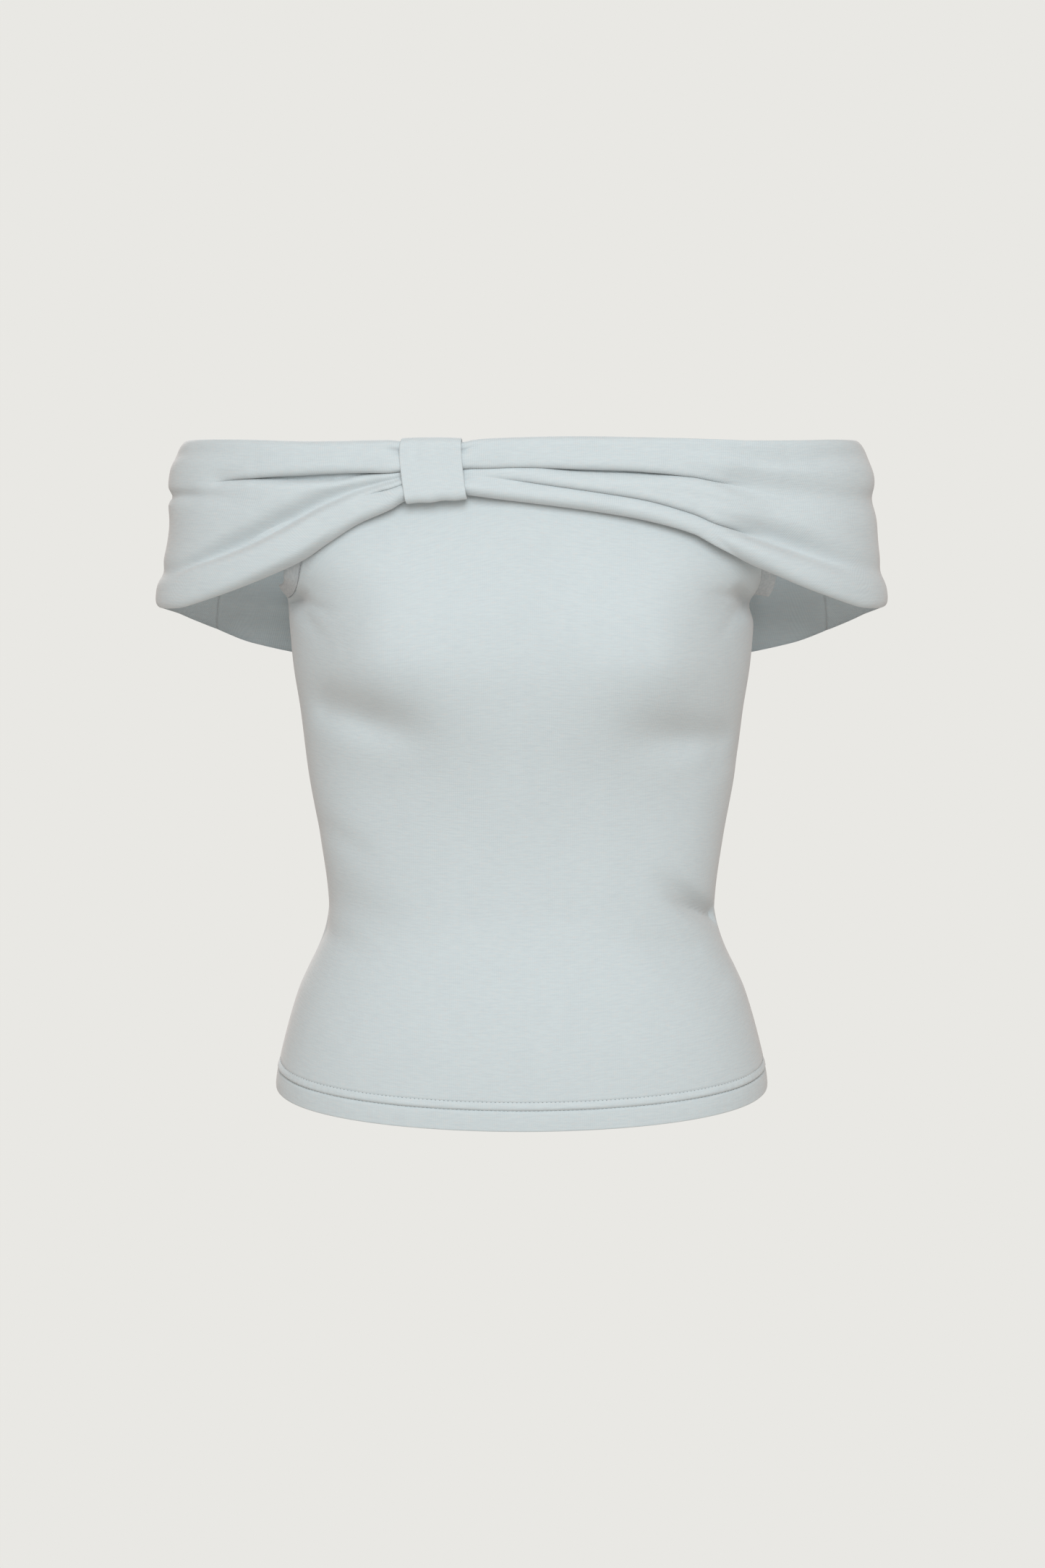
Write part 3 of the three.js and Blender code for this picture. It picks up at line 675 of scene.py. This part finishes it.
upperFold = addFold([
    (-180, 0.28, 0, 16, 12, 1, 0),
    (-66, 0.28, 0, 8, 6, 1, 0),
    (-60.5, 0.27, 1.6, 7, 5, 1, 0),
    (-56.8, 0.266, 4.2, 7, 4, 0.7, 0),
    (-52, 0.265, 6, 7, 5, 0.25, 0.2),
    (-48.9, 0.265, 7, 7, 6, 0, 0.5),
    (-42.1, 0.273, 8.6, 6, 7, 0, 2),
    (-36.1, 0.297, 9, 6, 6, 0, 3),
    (-30.7, 0.344, 8.6, 6, 6, 0, 3.2),
    (-25.5, 0.411, 7.6, 5, 6, 0, 1.2),
    (-20.4, 0.478, 5.6, 5, 4.5, 0, 0.2),
    (-13.6, 0.52, 5, 4, 4, 0, 0.2),
    (-6.4, 0.516, 4.6, 5, 5, 0.2, 0),
    (-1.8, 0.484, 5.2, 5, 6, 0.2, 0),
    (2.8, 0.465, 6, 5, 7, 0.1, 0.1),
    (7.4, 0.462, 7.4, 5, 7.5, 0, 1),
    (12.1, 0.448, 7.8, 5, 8, 0, 1.5),
    (16.8, 0.43, 7.8, 5, 8, 0, 1.5),
    (21.6, 0.419, 7.4, 6, 8, 0, 1.2),
    (26.6, 0.413, 6, 8, 6, 0.15, 0.2),
    (31.8, 0.402, 6.4, 7.5, 3.6, 0.5, 0),
    (37.3, 0.39, 7.6, 10, 6.5, 0.9, 0),
    (43.3, 0.386, 7.4, 12, 10, 1, 0),
    (50.1, 0.375, 6, 11, 12, 1, 0),
    (58.3, 0.366, 4.4, 10, 12, 1, 0),
    (69.9, 0.353, 3.2, 8, 10, 1, 0),
    (84, 0.35, 3, 7, 9, 1, 0),
    (100, 0.36, 1.6, 10, 12, 1, 0),
    (120, 0.38, 0.3, 16, 16, 1, 0),
    (180, 0.38, 0, 16, 16, 1, 0),
])
lowerFold = addFold([
    (-180, 0.78, 0, 14, 12, 1),
    (-120, 0.79, 0.8, 14, 12, 1),
    (-90, 0.79, 2.6, 7, 6, 1),
    (-72.3, 0.78, 3.2, 6, 4.5, 1),
    (-64.3, 0.752, 5, 5.5, 3.2, 1),
    (-55.2, 0.725, 9, 8, 3.8, 1),
    (-47.9, 0.693, 10.5, 8.5, 4.4, 1),
    (-41.4, 0.65, 10.5, 8.5, 4.4, 1),
    (-35.6, 0.606, 9.5, 8, 4, 1),
    (-30.3, 0.59, 7.6, 6.5, 3.6, 1),
    (-25.3, 0.585, 6.4, 4.6, 3, 0.9),
    (-20.3, 0.584, 4.4, 3, 2.2, 0.8),
    (-13.6, 0.62, 2.4, 4, 4, 0.9),
    (-6.3, 0.652, 3.2, 4.5, 4, 0.9),
    (-1.8, 0.677, 4.4, 4.5, 4.5, 0.7),
    (2.8, 0.707, 5.4, 5, 5, 0.3),
    (7.4, 0.727, 6.2, 5, 6, 0.05),
    (12, 0.742, 6.6, 5, 7, 0),
    (16.6, 0.752, 6.8, 5, 7.5, 0),
    (21.4, 0.764, 7, 5, 8, 0),
    (26.3, 0.787, 6.8, 5, 8, 0),
    (31.4, 0.795, 6.8, 8, 6, 0.1),
    (36.9, 0.775, 9.6, 9, 4.4, 0.7),
    (42.8, 0.75, 11.5, 11.5, 4.8, 1),
    (49.4, 0.745, 11, 11, 5.6, 1),
    (56.8, 0.755, 8, 10, 6, 1),
    (67, 0.76, 3.6, 8, 7, 1),
    (90, 0.79, 2.2, 8, 7, 1),
    (120, 0.79, 0.6, 14, 12, 1),
    (180, 0.78, 0, 14, 12, 1),
])
shortFold = addFold([
    (-180, 0.69, 0, 3, 3, 1),
    (-28.5, 0.69, 0, 3, 2.5, 0.6),
    (-25.2, 0.695, 1.8, 3, 2.5, 0.4),
    (-20.3, 0.708, 4, 3.5, 3.5, 0),
    (-15, 0.73, 4, 3.5, 3.5, 0),
    (-13.6, 0.72, 0, 3.5, 3.5, 0),
    (180, 0.7, 0, 3, 3, 1),
])
armCrease = addFold([
    (-180, 0.34, 0, 16, 14),
    (-120, 0.35, 0.4, 12, 10),
    (-96, 0.34, 2.6, 5, 4),
    (-84, 0.335, 3.2, 4, 3),
    (-76.9, 0.333, 3.4, 4, 3),
    (-66.8, 0.343, 3.4, 4.5, 3),
    (-60.1, 0.354, 2.6, 4.5, 3),
    (-56.3, 0.363, 1.8, 4.5, 3.5),
    (-51.3, 0.393, 0.6, 6, 5),
    (-46, 0.42, 0, 8, 8),
    (180, 0.4, 0, 8, 8),
])
topCrease = addFold([
    (-180, 0.08, 0, 3, 3, 1),
    (-28, 0.09, 0, 3, 3, 1),
    (-23.4, 0.12, 1, 3, 2.5, 0.9),
    (-20, 0.165, 3.4, 3, 2.2, 0.7),
    (-13.6, 0.18, 3.6, 3, 2.4, 0.6),
    (-9.5, 0.165, 2.8, 3, 2.2, 0.6),
    (-6.5, 0.115, 1.4, 3, 2.5, 0.9),
    (-2.5, 0.06, 0, 4, 4, 1),
    (180, 0.05, 0, 4, 4, 1),
])
rightTopTrough = addFold([
    (-180, 0.1, 0, 12, 6),
    (14, 0.1, 0, 8, 5),
    (24, 0.1, 0.5, 8, 5),
    (32.8, 0.11, 1.6, 8, 3.5),
    (38.2, 0.142, 2.4, 9, 3),
    (44.2, 0.165, 2.8, 10, 2.4),
    (51.4, 0.15, 2.8, 10, 3),
    (60.9, 0.115, 3, 8, 4),
    (72, 0.1, 3, 7, 5),
    (84, 0.1, 2, 8, 7),
    (100, 0.12, 0, 12, 10),
    (180, 0.12, 0, 12, 10),
])
leftTopTrough = addFold([
    (-180, 0.1, 0, 8, 8),
    (-100, 0.1, 0, 8, 8),
    (-84, 0.09, 1.8, 6, 5),
    (-72.3, 0.078, 2, 5, 4),
    (-59.3, 0.083, 1.2, 6, 5),
    (-48, 0.1, 0, 8, 8),
    (180, 0.1, 0, 8, 8),
])
leftArmTrough = addFold([
    (-180, 0.5, 0, 12, 18),
    (-118, 0.5, 0, 12, 18),
    (-96, 0.49, 1.8, 12, 20),
    (-82, 0.49, 1.8, 12, 20),
    (-64, 0.5, 0, 12, 18),
    (180, 0.5, 0, 12, 18),
])
rightLowCrease = addFold([
    (-180, 0.86, 0, 2, 2, 1),
    (29, 0.86, 0, 2, 2, 1),
    (34, 0.86, 0.6, 2, 1.6, 0.9),
    (40, 0.85, 0.8, 2, 1.8, 0.9),
    (47, 0.84, 0.6, 2.4, 2, 0.9),
    (54, 0.84, 0, 3, 3, 1),
    (180, 0.84, 0, 2, 2, 1),
])
rightMiddleCrease = addFold([
    (-180, 0.6, 0, 3, 3, 1),
    (22, 0.61, 0, 3, 3, 1),
    (28, 0.6, 0.6, 3, 2, 0.9),
    (34, 0.578, 0.8, 4, 2, 0.9),
    (41, 0.56, 0.6, 5, 3, 1),
    (50, 0.56, 0, 6, 6, 1),
    (180, 0.6, 0, 3, 3, 1),
])
# The back has the same kind of folds, fewer and flatter, where the arms pull on it.
backUpperFold = addFold([
    (-180, 0.44, 1, 12, 9),
    (-172, 0.41, 1.3, 11, 8),
    (-158, 0.345, 2.5, 9, 5),
    (-142, 0.29, 2.3, 9, 5),
    (-124, 0.26, 1.3, 10, 7),
    (-104, 0.27, 0, 12, 12),
    (108, 0.3, 0, 12, 12),
    (122, 0.35, 1.3, 11, 8),
    (138, 0.41, 2.4, 9, 5),
    (156, 0.47, 2.5, 10, 6),
    (172, 0.455, 1.3, 12, 8),
    (180, 0.44, 1, 12, 9),
])
backLowerFold = addFold([
    (-180, 0.7, 0.2, 12, 12),
    (-172, 0.69, 0.5, 11, 10),
    (-160, 0.7, 2, 9, 6),
    (-146, 0.75, 2.4, 8, 4.5),
    (-128, 0.79, 1.6, 9, 6),
    (-110, 0.8, 0, 10, 10),
    (108, 0.78, 0, 10, 10),
    (126, 0.73, 2.2, 8, 5),
    (144, 0.67, 2.3, 9, 6),
    (164, 0.7, 0.6, 11, 10),
    (180, 0.7, 0.2, 12, 12),
])
# How far the lower edge curls in towards the wearer, and over what height.
edgeCurl = curvesOf("turn deep tall", [
    (-180, 1.6, 8),
    (-100, 2.2, 8),
    (-60, 3.6, 10),
    (-48, 5.4, 12),
    (-40, 7, 13),
    (-32, 6, 12),
    (-24, 2.5, 9),
    (-19, 0.3, 6),
    (-6, 0.3, 6),
    (10, 2.5, 8),
    (20, 6, 10),
    (28, 9, 13),
    (38, 10, 14),
    (46, 7, 13),
    (60, 3.8, 10),
    (100, 2.2, 8),
    (180, 1.6, 8),
])


# Where the band's plain form and the chest under it lie, at a turn and a height.
def bandDepths(turn, z):
    angle = np.radians(turn)
    isFront = np.cos(angle) > 0
    half = bandForm["half"](z)
    deep = np.where(isFront, bandForm["front"](z), bandForm["back"](z))
    x = half * np.sin(angle)
    plan = roundedDepth(deep, x / half, band["square"])
    chest = np.where(isFront, bodyDepth("front", x, z), bodyDepth("back", x, z)) + band["lieGap"]
    chest = np.where(np.abs(x) < bodyForm["half"](z) * band["chestShare"], chest, -band["noChest"])
    return isFront, half, deep, x, plan, chest


# A point of the band at a turn, a height and a distance out from its inner face.
def bandPlace(turn, z, out):
    isFront, half, deep, x, plan, chest = bandDepths(turn, z)
    # It lies on the chest where that stands out further, rounded over where the two are alike.
    near = np.maximum(0, 1 - np.abs(plan - chest) / band["lieBlend"])
    depth = np.maximum(plan, chest) + near * near * band["lieBlend"] / 4
    nx = np.sign(x) * np.abs(x / half) ** (band["square"] - 1) * deep
    ny = (plan / deep) ** (band["square"] - 1) * half
    size = np.hypot(nx, ny)
    first, last = (loop["halfTurn"] + beyond for beyond in loop["clearTurns"])
    knotNear = 1 - smoothstep(np.abs(turn - loop["turn"]), first, last)
    off = out + (loop["cloth"] + loop["gap"] + panels["seamGap"]) * knotNear
    y = np.where(isFront, -1, 1) * (depth + ny / size * off)
    return np.stack(np.broadcast_arrays(x + nx / size * off, y, z), axis=-1)


# The depth that the folds take from the loft, and how far down they move the cloth. Above a sharp
# fold the cloth turns over in a lip, and it comes out again from under that lip.
def foldedCloth(turn, down, tall):
    drop, slip = 0, 0
    for fold in folds:
        deep, above, below = (np.maximum(fold[key](turn), 0) for key in ("deep", "above", "below"))
        soft = np.maximum(fold["soft"](turn), 0) if "soft" in fold else 1
        x = down - fold["at"](turn) * tall
        radius = deep / (1 - math.cos(band["lipTurn"]))
        bent = np.clip(1 + x / np.maximum(radius, 1e-3), 0, 1) * band["lipTurn"]
        lip = radius * (1 - np.cos(bent))
        gap = np.maximum(fold["gap"](turn), 0) if "gap" in fold else 0
        rise = deep * (1 - roundNose(np.maximum(x - gap, 0), below))
        tuck = radius * (1 - math.sin(band["lipTurn"])) * np.exp(-np.maximum(x, 0) / band["tuckReach"])
        lipSlip = np.where(x > -radius, radius * (np.sin(bent) - 1) - x, 0)
        trough = deep * bell(x, np.where(x < 0, above, below))
        drop = drop + lerp(np.where(x < 0, lip, rise), trough, soft)
        slip = slip + (1 - soft) * np.where(x < 0, lipSlip, -tuck)
    return drop, slip


# Distances down the band from its top: rows close together at both edges and at the two main folds.
def bandRows(turn, tall, counts):
    useShort = bell(turn - band["shortAt"], band["shortHalf"])
    second = lerp(lowerFold["at"](turn), shortFold["at"](turn), useShort)
    knots = [0, upperFold["at"](turn), second, 1]
    rows = [np.zeros_like(turn)]
    for i, count in enumerate(counts):
        share = np.arange(1, count + 1) / count
        share = share - band["bunching"] * np.sin(2 * math.pi * share) / (2 * math.pi)
        rows += [lerp(knots[i], knots[i + 1], s) for s in share]
    return np.stack(rows) * tall


# Stations round the band, evenly spaced along it.
def evenTurns(first, last, step):
    turns = np.linspace(first, last, 2000)
    middle = bandPlace(signedTurn(turns), np.full_like(turns, band["middleHeight"]), 0)
    run = runAlong(middle)
    return np.interp(np.linspace(0, run[-1], int(run[-1] / step) + 1), run, turns)


def signedTurn(turn):
    return np.where(turn > 180, turn - 360, turn)


def bandCloth(side, first, last, counts):
    turns = evenTurns(first, last, band["step"])
    turn = signedTurn(turns)
    top, bottom, loft = (bandEdges[key](turn) for key in ("top", "bottom", "loft"))
    loft = loft * band["plump"]
    tall = top - bottom
    down = bandRows(turn, tall, counts)
    drop, slip = foldedCloth(turn, down, tall)
    # Beyond the chest there is room for the folds to go deeper.
    room = band["armRoom"] * smoothstep(np.abs(turn), *band["armTurns"])
    height = np.maximum(loft - drop, band["thinnest"] - room)
    follows = smoothstep(np.abs(turn - loop["turn"]), band["plainTurn"], band["followTurn"])
    under, over = height * follows, height + band["cloth"]
    # The lower edge rolls down onto the chest, the upper one is a fold in mid air.
    middle = lerp(under, over, np.where(down < tall / 2, band["upperShare"], band["lowerShare"]))
    fromEdge = np.minimum(down, (tall - down) * band["lowerRoll"])
    reach = np.minimum(band["rollMost"] * tall, band["rollReach"] + band["rollLoft"] * loft)
    roll = lerp(band["leastWall"], 1, roundNose(fromEdge, reach))
    place = bandPlace(turn, top - down, 0)
    along, across = clothLengths(place)
    fromSeam = np.minimum(along - along[:, :1], along[:, -1:] - along)
    pull = band["seamPull"] * bell(fromSeam, 1.6)
    ridge = band["seamRidge"] * bell(fromSeam, 13)  # the seam's turned-in edges, between the two layers
    # The wales stay square to the rolls, so they lean where the lower edge runs down to the arms.
    lean = np.gradient(bottom, along[0]) * tall / 2
    along = along - lean * (down / tall) ** 2
    plan, chest = bandDepths(turn, top - down)[-2:]
    curl = edgeCurl["deep"](turn) * (1 - roundNose(tall - down, edgeCurl["tall"](turn)))
    curl = np.minimum(curl, np.maximum(plan - chest, 0) * band["curlShare"])
    outer = bandPlace(turn, top - np.clip(down + slip, 0, tall), lerp(middle, over, roll) - pull - curl)
    inner = bandPlace(turn, top - down, lerp(middle, under, roll) - ridge - curl)
    piece = clothWall(f"{side}_band_cloth", outer, inner, (along, across), skins["band"])
    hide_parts(f"{side}_band")
    return piece


frontPanel, frontFace = panelCloth("front")
backPanel, backFace = panelCloth("back")
print("panels made")
frontBand = bandCloth("front", -band["seamTurn"], band["seamTurn"], (28, 30, 28))
backBand = bandCloth("back", band["seamTurn"], 360 - band["seamTurn"], (18, 18, 16))
print("bands made")


# Loop

# A rounded rectangle as offset and height from its middle, for shares of the way round it.
def roundedOutline(share, halfOut, halfUp, radius):
    straightUp, straightOut = halfUp - radius, halfOut - radius
    quarter = math.pi / 2 * radius
    lengths = np.stack(np.broadcast_arrays(2 * straightUp, quarter, 2 * straightOut, quarter))
    flip = np.where(share < 0.5, 1, -1)
    left = (share % 0.5) * 2 * lengths.sum(axis=0)
    ends = np.cumsum(lengths, axis=0)
    segment = np.minimum((left[None] > ends).sum(axis=0), 3)
    passed = np.take_along_axis(ends, np.maximum(segment - 1, 0)[None], 0)[0]
    left = left - np.where(segment > 0, passed, 0)
    turn = left / radius
    out = np.choose(segment, [
        halfOut + 0 * left, straightOut + radius * np.cos(turn), straightOut - left,
        -straightOut - radius * np.sin(turn)])
    up = np.choose(segment, [
        -straightUp + left, straightUp + radius * np.sin(turn), halfUp + 0 * left,
        straightUp + radius * np.cos(turn)])
    return out * flip, up * flip


def loopCloth():
    ends = [37.6, 38.4, 38.9, 39.3, 39.52, 39.6]
    across = np.array([0, 0.08, 0.3, 0.7, 1.2, 2, *np.arange(3, 37.5, 0.95), *ends])
    span = across[-1]
    share = (across / span * 2 - 1)[:, None]
    around = np.linspace(0, 1, loop["around"] + 1)
    around = np.where(around == 1, 0, around)[None, :]
    edge = np.minimum(across, span - across)[:, None]
    closing = lerp(loop["leastWall"], 1, roundNose(edge, loop["cloth"] / 2))

    def face(grow):
        turn = loop["turn"] + share * loop["halfTurn"] + 0 * around
        halfThick = (band["cloth"] + bandEdges["loft"](turn)) / 2
        top = loop["top"] + loop["topArch"] * (1 - share**2)
        bottom = lerp(*loop["bottoms"], (share + 1) / 2)
        bottom = bottom + loop["bottomWave"] * np.sin(7 * share) * (1 - share**2)
        out, up = roundedOutline(
            around + 0 * share, halfThick + grow, (top - bottom) / 2 + grow, loop["round"] + grow)
        downShare = 0.5 - up / (top - bottom)
        front = smoothstep(out, -1, 3)
        # It leans a little, and its front swells between its two edges.
        halfTurn = lerp(loop["topHalfTurn"], loop["halfTurn"], downShare)
        turn = loop["turn"] + lerp(loop["topLean"], 0, downShare) + share * halfTurn
        dent = loop["dent"] * bell(share - loop["dentAt"], loop["dentHalf"])
        swell = loop["belly"] * (1 - share**2) - dent * smoothstep(0.75 - downShare, 0, 0.6)
        swell = swell + loop["wave"] * np.sin(9 * downShare + 3 * share) * (1 - share**2)
        return bandPlace(turn, (top + bottom) / 2 + up, halfThick + out + front * swell)

    middle = loop["gap"] + loop["cloth"] / 2
    outer = face(middle + closing * loop["cloth"] / 2)
    inner = face(middle - closing * loop["cloth"] / 2)
    ways, runs = clothLengths(outer)
    piece = clothWall("loop_cloth", outer, inner, (runs, ways), skins["loop"], tube=True)
    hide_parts("loop")
    return piece


loopPiece = loopCloth()
print("loop made")


# Armhole bindings

binding = {
    "width": 9.5,
    "cloth": 1.8,
    "edgeRound": 1.3,
    "end": 0.9,  # the share of the armhole's edge that it covers before it goes under the band
    "flare": {-1: 0.95, 1: 0.92},  # how far it turns out towards the arm, on the left and the right
    "flareFade": (34, 70),  # the heights over which it stops doing so
    "backFlare": 0.4,
    "rise": {-1: 0.2, 1: -0.3},  # and how far up it goes there
    "turnUp": {-1: 16, 1: 3},  # the height over which it turns up under the arm
    "stations": 34,  # on each side of the underarm
    "pucker": 0.22,
    "seamGroove": 0.3,
    "leastWall": 0.05,
    "stitchIn": 0.9,  # how far inside the panel's edge the seam's stitches lie
    "stitchOut": 0.1,
}


def unit(vectors):
    return vectors / np.linalg.norm(vectors, axis=-1, keepdims=True)


def bindingCloth(name, mirror):
    share = np.linspace(-binding["end"], binding["end"], 2 * binding["stations"] + 1)
    v = lerp(panels["seamShare"], 1, np.abs(share))

    def onPanel(u, inward):
        front, back = (panelPoint(side, u, v, inward) for side in ("front", "back"))
        return np.where((share <= 0)[:, None], front, back)

    faceEdge = onPanel(mirror, 0)
    backEdge = onPanel(mirror, panels["cloth"])
    inside = onPanel(mirror * 0.96, 0)
    middle = (faceEdge + backEdge) / 2
    run = unit(np.gradient(middle, axis=0))
    # It goes on in the panel's own surface, flares towards the arm in front, and turns up under it.
    height = middle[:, 2:] - panels["underarm"]
    flare = binding["flare"][mirror] * (1 - smoothstep(height, *binding["flareFade"]))
    flare = flare * np.where(share <= 0, 1, binding["backFlare"])[:, None]
    towardsArm = unit(np.array([mirror, 0.1, binding["rise"][mirror]]))
    out = lerp(unit(faceEdge - inside), towardsArm, flare)
    under = 1 - smoothstep(height, 0, binding["turnUp"][mirror])
    out = lerp(out, unit(np.array([0.75 * mirror, 0, 1])), under)
    out = unit(out - run * np.sum(out * run, axis=1, keepdims=True))
    wall = unit(np.cross(run, out))
    wall = wall * np.sign(np.sum(wall * (faceEdge - backEdge), axis=1, keepdims=True))
    at = np.array([
        0, 0.012, 0.06, 0.13, 0.2, 0.26, 0.35, 0.5, 0.64, 0.75, 0.85, 0.92, 0.96, 0.982, 0.995, 1])
    at = at * binding["width"]
    nose = roundNose(binding["width"] - at, binding["edgeRound"])
    half = lerp(binding["leastWall"], 1, nose) * binding["cloth"] / 2
    half = half * lerp(0.5, 1, roundNose(at, 0.5))
    along = runAlong(middle)
    # The stretched edge puckers a little, and its seam line draws it in.
    wave = np.sin(along / 1.9 + np.sin(along / 7))[:, None]
    pucker = binding["pucker"] * wave * bell(at - 3.2, 2.2)
    groove = binding["seamGroove"] * bell(at - 1.7, 0.45)
    half = half * np.ones_like(pucker) - groove + pucker * 0.5

    def face(sign):
        place = middle[:, None] + out[:, None] * (panels["seamGap"] + at)[None, :, None]
        return place + wall[:, None] * (sign * half)[:, :, None]

    outer, inner = face(1), face(-1)
    widths, runs = clothLengths(outer)
    piece = clothWall(f"{name}_cloth", outer, inner, (runs, widths), skins["binding"])
    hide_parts(name)
    return piece, faceEdge - out * binding["stitchIn"] + wall * binding["stitchOut"]


leftBinding, leftSeam = bindingCloth("left_armhole_binding", -1)
rightBinding, rightSeam = bindingCloth("right_armhole_binding", 1)
print("bindings made")


# Stitching

# One long bead for each stitch along a line of points on the cloth.
def stitchRow(line, length):
    run = runAlong(line)
    middles = np.arange(stitch["pitch"], run[-1] - stitch["pitch"], stitch["pitch"])

    def onLine(places):
        return np.stack([np.interp(places, run, line[:, i]) for i in range(3)], axis=1)

    centre = onLine(middles)
    forward = unit(onLine(middles + 1) - centre)
    side = unit(np.cross(forward, [0, 0, 1]))
    up = np.cross(side, forward)
    sides, rings = stitch["sides"], stitch["rings"]
    turn = np.linspace(0, 2 * math.pi, sides, endpoint=False)
    lean = np.linspace(-math.pi / 2, math.pi / 2, rings)
    girth = np.maximum(np.cos(lean), 0.03)
    ring = np.stack([
        np.repeat(np.sin(lean) * length / 2, sides),
        np.outer(girth, np.cos(turn)).ravel() * stitch["thick"] / 2,
        np.outer(girth, np.sin(turn)).ravel() * stitch["thick"] / 2], axis=1)
    axes = np.stack([forward, side, up], axis=1)
    points = centre[:, None] + ring[None] @ axes
    grid = np.arange(sides * rings).reshape(rings, sides)
    after = np.roll(grid, -1, axis=1)
    quads = np.stack([grid[:-1], after[:-1], after[1:], grid[1:]], axis=-1).reshape(-1, 4).tolist()
    return points.reshape(-1, 3), quads + [grid[0][::-1].tolist(), grid[-1].tolist()], len(points)


def stitches(name, lines):
    points, faces = [], []
    for line, length in lines:
        places, one, count = stitchRow(line, length)
        start = sum(len(p) for p in points)
        step = stitch["sides"] * stitch["rings"]
        faces += [[i + start + n * step for i in face] for n in range(count) for face in one]
        points.append(places)
    points = np.concatenate(points) * mm
    corners = np.array([i for face in faces for i in face])
    mesh = knitMesh(name, points, faces, points[corners][:, [0, 2]], [thread])
    mesh.shade_smooth()
    piece = addPiece(name, mesh)
    return piece


def hemLines(face, side):
    fromHem = panelRows(side) * (panels["neckEdge"] - panels["middleHem"][side])
    rows = [face[np.argmin(np.abs(fromHem - at))] for at in panels["stitchRows"]]
    return list(zip(rows, (stitch["long"], stitch["short"])))


frontHemStitches = stitches("front_hem_stitches", hemLines(frontFace, "front"))
backHemStitches = stitches("back_hem_stitches", hemLines(backFace, "back"))
leftSeamStitches = stitches("left_armhole_stitches", [(leftSeam, stitch["short"])])
rightSeamStitches = stitches("right_armhole_stitches", [(rightSeam, stitch["short"])])
print("stitches made")


# The flat size of what shows of each cloth, in metres, how it is held, and its area. The panels are
# wider at bust and hem than at the waist, so they cover less than their rectangle.
cuts = [
    (frontPanel, (0.42, 0.46), "stretched", 0.160, [frontHemStitches]),
    (backPanel, (0.40, 0.45), "stretched", 0.150, [backHemStitches]),
    (frontBand, (0.62, 0.13), "gathered", 0.072, []),
    (backBand, (0.42, 0.15), "stretched", 0.058, []),
    (loopPiece, (0.04, 0.10), "folded", None, []),
    (leftBinding, (0.012, 0.22), "stretched", None, [leftSeamStitches]),
    (rightBinding, (0.012, 0.22), "stretched", None, [rightSeamStitches]),
]
for piece, flat, held, area, extras in cuts:
    print(piece.name, "covers", round(wallArea(piece), 4), "square metres")


# Studio

studio = {
    "background": "#E9E8E4",
    "floorDrop": 1.2,
    "floorRadius": 1.3,
    "floorFade": 0.5,  # the share of that radius from which it fades
    "cameraPlace": (0, -2.3, 0.06),
    "cameraAim": (0.0005, 0, -0.124),
    "lens": 81.4,
    "ambient": ("#F2ECE6", 0.56),
    "backdrop": 1.0,
    "lampAim": (0, 0, -0.1),
    # name, place, size, power, colour
    "lamps": [
        ("key", (0.05, -2.75, 1.32), 1.8, 62, "#F0F8FC"),
        ("back_key", (-0.5, 2.7, 1.5), 1.4, 62, "#F0F8FC"),
    ],
}


def aimed(obj, place, target):
    obj.location = place
    obj.rotation_euler = (Vector(target) - Vector(place)).to_track_quat("-Z", "Y").to_euler()
    scene.collection.objects.link(obj)
    return obj


camera = bpy.data.cameras.new("camera")
camera.lens = studio["lens"]
cameraObject = bpy.data.objects.new("camera", camera)
scene.camera = aimed(cameraObject, studio["cameraPlace"], studio["cameraAim"])

for name, place, size, power, colour in studio["lamps"]:
    lamp = bpy.data.lights.new(name, "AREA")
    lamp.shape = "DISK"
    lamp.size = size
    lamp.energy = power
    lamp.color = linearColour(colour)[:3]
    softbox = aimed(bpy.data.objects.new(name, lamp), place, studio["lampAim"])
    softbox.visible_camera = False

world = bpy.data.worlds.new("studio")
world.use_nodes = True
scene.world = world
sky = world.node_tree
rays = addNode(sky, "LightPath")
ambientColour, ambientPower = studio["ambient"]
ambient = addNode(sky, "Background", {0: linearColour(ambientColour), 1: ambientPower})
backdrop = addNode(sky, "Background", {
    0: linearColour(studio["background"]), 1: studio["backdrop"]})
seen = addNode(sky, "MixShader", {
    0: rays.outputs["Is Camera Ray"], 1: ambient, 2: backdrop})
sky.links.new(seen.outputs[0], sky.nodes["World Output"].inputs[0])
scene.view_settings.view_transform = "Standard"

# A matte painted floor, which fades into the backdrop at its rim.
floorMesh = bpy.data.meshes.new("floor")
disc = bmesh.new()
bmesh.ops.create_circle(disc, cap_ends=True, radius=studio["floorRadius"], segments=96)
disc.to_mesh(floorMesh)
disc.free()
floor = bpy.data.objects.new("floor", floorMesh)
floor.location.z = -studio["floorDrop"]
scene.collection.objects.link(floor)
paint, paintTree, paintShader = newMaterial("matte_studio_floor_paint")
paintShader.inputs["Base Color"].default_value = linearColour(studio["background"])
paintShader.inputs["Roughness"].default_value = 0.9
place = addNode(paintTree, "TexCoord").outputs["Object"]
distance = addNode(paintTree, "VectorMath", {0: place}, operation="LENGTH")
fade = addNode(paintTree, "MapRange", {
    "Value": distance.outputs["Value"], "From Min": studio["floorRadius"] * studio["floorFade"],
    "From Max": studio["floorRadius"], "To Min": 1, "To Max": 0}, interpolation_type="SMOOTHSTEP")
paintTree.links.new(fade.outputs[0], paintShader.inputs["Alpha"])
floorMesh.materials.append(paint)
print("studio made")
